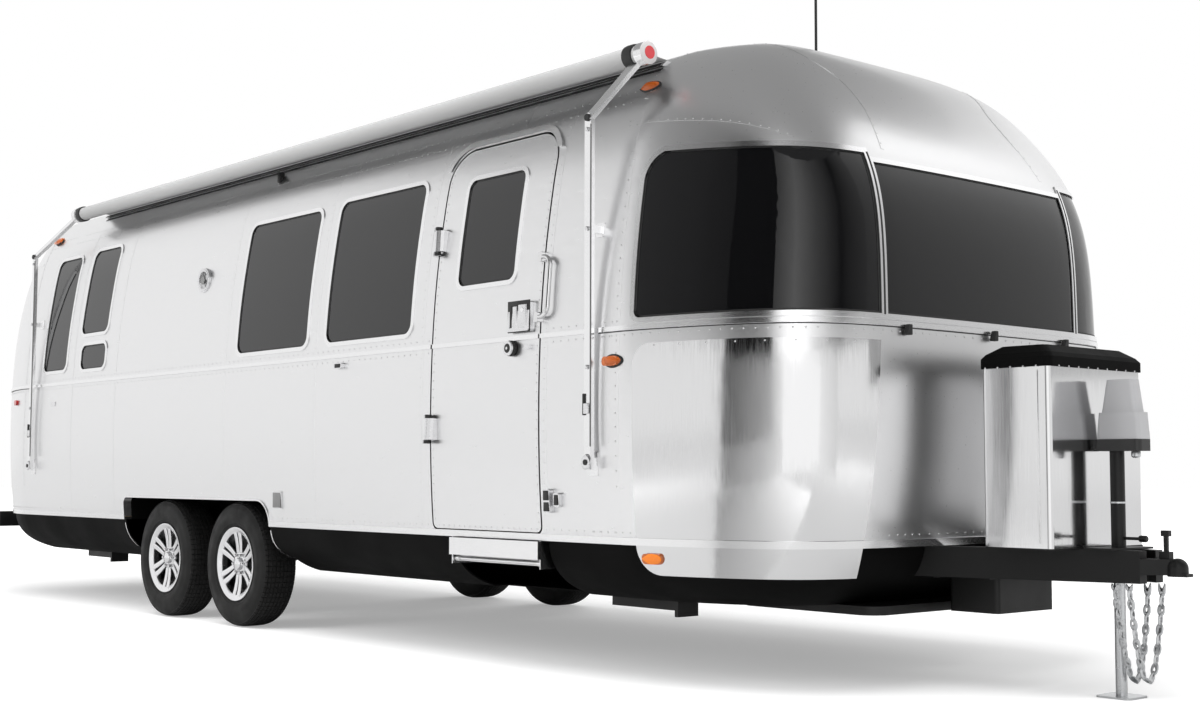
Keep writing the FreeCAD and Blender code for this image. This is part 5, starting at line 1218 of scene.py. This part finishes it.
amber = lens_glass("dark amber lens", (0.26, 0.045, 0.006), (0.55, 0.12, 0.010))
guard_amber = lens_glass("orange lens", (0.74, 0.17, 0.010), (0.86, 0.24, 0.015))
skin_faces = [face for face, owner in zip(cast_faces, cast_owner) if owner in SKIN]
bare_skin = BVHTree.FromPolygons(cast_points, skin_faces)
lamp_mesh = nodes["lamps"].data
lamp_faces = BVHTree.FromPolygons([vertex.co.copy() for vertex in lamp_mesh.vertices],
                                  [list(face.vertices) for face in lamp_mesh.polygons])


def teardrop(name, spot, normal, length, height, lift, material):
    """Half a drop, round in front and drawn to a point behind, standing on the skin."""
    bpy.ops.object.select_all(action="DESELECT")
    bpy.ops.mesh.primitive_uv_sphere_add(segments=32, ring_count=16, radius=0.5)
    drop = bpy.context.object
    edit_mode(True)
    select_mesh()
    bpy.ops.mesh.bisect(plane_co=(0, 0, 0), plane_no=(0, 0, 1), clear_inner=True, use_fill=True)
    edit_mode(False)
    up = Vector((0, 0, 1)) - normal * normal.z
    up.normalize()
    ahead = up.cross(normal)
    if ahead.x < 0:
        ahead = -ahead
    for vertex in drop.data.vertices:
        x, y, z = vertex.co
        taper = 1.0 if x > 0 else 1.0 - 0.85 * (2 * x) ** 2
        vertex.co = spot + ahead * x * length + up * y * height * taper + normal * (z * 2 * lift * taper)
    edit_mode(True)
    face_outwards()
    smooth(50)
    finished(name, material)


def side_hit(faces, x, z, side):
    """Where a ray straight in at one side meets the faces, and the normal there."""
    start, direction = side_ray(x, z, side)
    return faces.ray_cast(Vector(start), Vector(direction))[:2]


for side, hand in ((-1, "right"), (1, "left")):
    for where, x, z in MARKERS:
        spot, normal = side_hit(lamp_faces, x, z, side)
        if spot is None:        # no seat stands there, so the lamp goes straight on the sheet
            spot, normal = side_hit(bare_skin, x, z, side)
            spot += normal * 0.0140
        wall = spot - normal * SEAT_HEIGHT
        teardrop("marker_rim_%s_%s" % (where, hand), wall, normal, 0.136, 0.058, 0.0105, black_rubber)
        teardrop("marker_lens_%s_%s" % (where, hand), wall, normal, 0.122, 0.046, LENS_LIFT[side], amber)
    spot, normal = side_hit(lamp_faces, *GUARD_MARKER, side)
    if spot is not None:
        teardrop("guard_lens_" + hand, spot, normal, 0.100, 0.043, 0.0045, guard_amber)

# ---------------------------------------------------------------- side fittings
# Small hatches and sockets on the two walls: cast frames with black flaps, a round vent
# with a ring and boss, and a door catch.
ON_WALL = SKIN + ("side_fittings",)
VENT_X = -0.972
VENT_Z = 1.984
SLATS = 9
SLAT_PITCH = 0.031
RIGHT_FLAPS = (     # name, from and to along the wall, bottom and top
    ("outlet_flap_tall", 2.272, 2.306, 0.744, 0.786),
    ("outlet_flap_low", 2.272, 2.306, 0.697, 0.736),
    ("outlet_flap_small", 2.334, 2.360, 0.724, 0.768),
    ("door_catch_jaw", 0.586, 0.634, 1.392, 1.412),
)


def on_pad(name, x0, x1, z0, z1, material, slot, side=-1, proud=0.0035):
    """Block that stands a little proud of a fitting, or of the bare wall."""
    y = on_skin(*side_ray((x0 + x1) / 2, (z0 + z1) / 2, side), ON_WALL)[0].y
    block(name, (x0, y - side * 0.004, z0), (x1, y + side * proud, z1), material, 0.0025)


on_pad("wheel_hatch_cover", -0.056, 0.024, 0.674, 0.754, hatch_grey, "fitting_metal")
for row in RIGHT_FLAPS:
    on_pad(*row, black_rubber, "black_plastic")
vent_y = on_skin(*side_ray(VENT_X, VENT_Z), ON_WALL)[0].y
turned("round_vent_ring", [
    (0.0, 0.0), (0.052, 0.0), (0.060, -0.0025), (0.064, -0.0025), (0.066, 0.001), (0.066, 0.006),
    (0.0, 0.006)], (VENT_X, vent_y, VENT_Z), "Y", 40, fitting_steel)
turned("round_vent_boss", [(0.0, 0.0), (0.022, 0.0), (0.024, -0.002), (0.024, -0.004), (0.0, -0.0045)],
       (VENT_X, vent_y - 0.0005, VENT_Z), "Y", 24, hatch_grey)
for row in range(SLATS):
    on_pad("refrigerator_vent_slat_%d" % row, 1.53, 1.80, 0.735 + SLAT_PITCH * row,
           0.747 + SLAT_PITCH * row, hatch_grey, "fitting_metal", 1, 0.003)
on_pad("heater_hatch_panel", -1.125, -0.675, 0.925, 1.215, hatch_grey, "fitting_metal", 1, 0.003)
on_pad("inlet_flap", -2.288, -2.212, 0.812, 0.888, black_rubber, "black_plastic", 1, 0.004)

# ---------------------------------------------------------------- cabin
# Veneered cabinets and deck, a mattress and a sofa, seen through the tinted panes.
DECK_TOP = (0.5865, 0.5875)     # the board is dark below these heights and veneered above
FURNITURE_Y = (0.632, 0.641)    # inner and outer face of the galley's doors
GALLEY_DOORS = 4
GALLEY_PITCH = 0.335
PILLOW_Y = 0.45
PILLOW_HALF = 0.33
SOFA_BACKS = (-0.66, 0.0, 0.66)
BACK_HALF = 0.32

veneer, tree, shader, grain = grained(
    "oiled veneer", (0.35, 0.25, 0.16), 0.0, (60.0, 9.0), ("Fine", 0.4, 0.6), ("Fine", 0.1, 0.0005),
    "deck_wood", stretch=0.08)
two_colours(tree, grain["Fine"], (0.28, 0.19, 0.12), (0.42, 0.31, 0.2), shader)
deck = veneer.copy()
deck.name = "deck board"
tree = deck.node_tree
two_colours(tree, step_mask(tree, "Z", *DECK_TOP), (0.006, 0.006, 0.006), (0.3, 0.22, 0.15),
            tree.nodes["Principled BSDF"])
paint_node("floor_deck", deck)

weave, tree, shader = new_material("woven upholstery", (0.3, 0.28, 0.26), 0.9)
threads = new_node(tree, "TexWave", {
    "Scale": 160.0, "Distortion": 2.0, "Vector": new_node(tree, "TexCoord").outputs["Object"]})
two_colours(tree, threads.outputs["Fac"], (0.24, 0.225, 0.21), (0.36, 0.34, 0.315), shader)
bumped(tree, threads.outputs["Fac"], 0.3, 0.001, shader)
shader.inputs["Sheen Weight"].default_value = 0.3
dress("upholstery", weave)


def cushion(name, low, high, seams=(), stands_for=None):
    """Stuffed pad that fills a box: crowned faces, sides pulled in between the corners, piped edges."""
    size = [b - a for a, b in zip(low, high)]
    pad = plain_box((1, 1, 1), (0, 0, 0))
    divide(15)
    for vertex in pad.data.vertices:
        u, v, w = (2 * c for c in vertex.co)
        plan = 1.0 - 0.028 * ((1 - v * v) if abs(u) > abs(v) else (1 - u * u))
        crown = 1.0 - 0.16 * (u ** 6 + v ** 6) / 2 - 0.05 * (u * u + v * v) / 2
        for seam in seams:
            crown -= 0.09 * math.exp(-((v - seam) / 0.02) ** 2)
        if w >= 0:
            w *= crown
        edge = 1.0 - 0.02 * (2 * vertex.co.z) ** 2 if abs(2 * vertex.co.z) > 0.9 else 1.0
        vertex.co = Vector((low[0] + size[0] * (0.5 + 0.5 * u * plan * edge),
                            low[1] + size[1] * (0.5 + 0.5 * v * plan * edge),
                            low[2] + size[2] * (0.5 + 0.5 * w)))
    rounded(pad, min(size) * 0.12, 3)
    bpy.ops.object.shade_smooth()
    piece = finished(name, weave)
    if stands_for:
        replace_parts(piece, stands_for)


bed_low, bed_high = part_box("bed")
block("bed_base", bed_low, (bed_high[0], bed_high[1], bed_low[2] + 0.30), veneer, 0.008)
cushion("mattress", (bed_low[0] + 0.01, bed_low[1] + 0.01, bed_low[2] + 0.305),
        (bed_high[0] - 0.01, bed_high[1] - 0.01, bed_high[2]), stands_for="bed")
for side, hand in ((-1, "right"), (1, "left")):
    cushion("pillow_" + hand, (bed_low[0] + 0.05, side * PILLOW_Y - PILLOW_HALF, bed_high[2] - 0.02),
            (bed_low[0] + 0.50, side * PILLOW_Y + PILLOW_HALF, bed_high[2] + 0.11))
sofa_low, sofa_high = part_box("front_sofa")
block("sofa_base", sofa_low, (sofa_high[0], sofa_high[1], sofa_low[2] + 0.26), veneer, 0.008)
cushion("sofa_seat", (sofa_low[0] + 0.01, sofa_low[1] + 0.01, sofa_low[2] + 0.265),
        (sofa_high[0] - 0.125, sofa_high[1] - 0.01, sofa_low[2] + 0.42), (-0.33, 0.33), "front_sofa")
for number, y in enumerate(SOFA_BACKS):
    cushion("sofa_back_%d" % number, (sofa_high[0] - 0.12, y - BACK_HALF, sofa_low[2] + 0.30),
            (sofa_high[0] - 0.005, y + BACK_HALF, sofa_high[2]))
for number in range(GALLEY_DOORS):
    x = -0.095 + GALLEY_PITCH * number
    block("galley_door_%d" % number, (x, FURNITURE_Y[0], 0.65), (x + 0.32, FURNITURE_Y[1], 1.43), veneer,
          0.003)
    block("galley_pull_%d" % number, (x + 0.285, 0.620, 1.18), (x + 0.297, 0.634, 1.34), fitting_steel,
          0.003)
block("wardrobe_door", (-1.335, FURNITURE_Y[0], 0.65), (-0.715, FURNITURE_Y[1], 2.06), veneer,
      0.003)
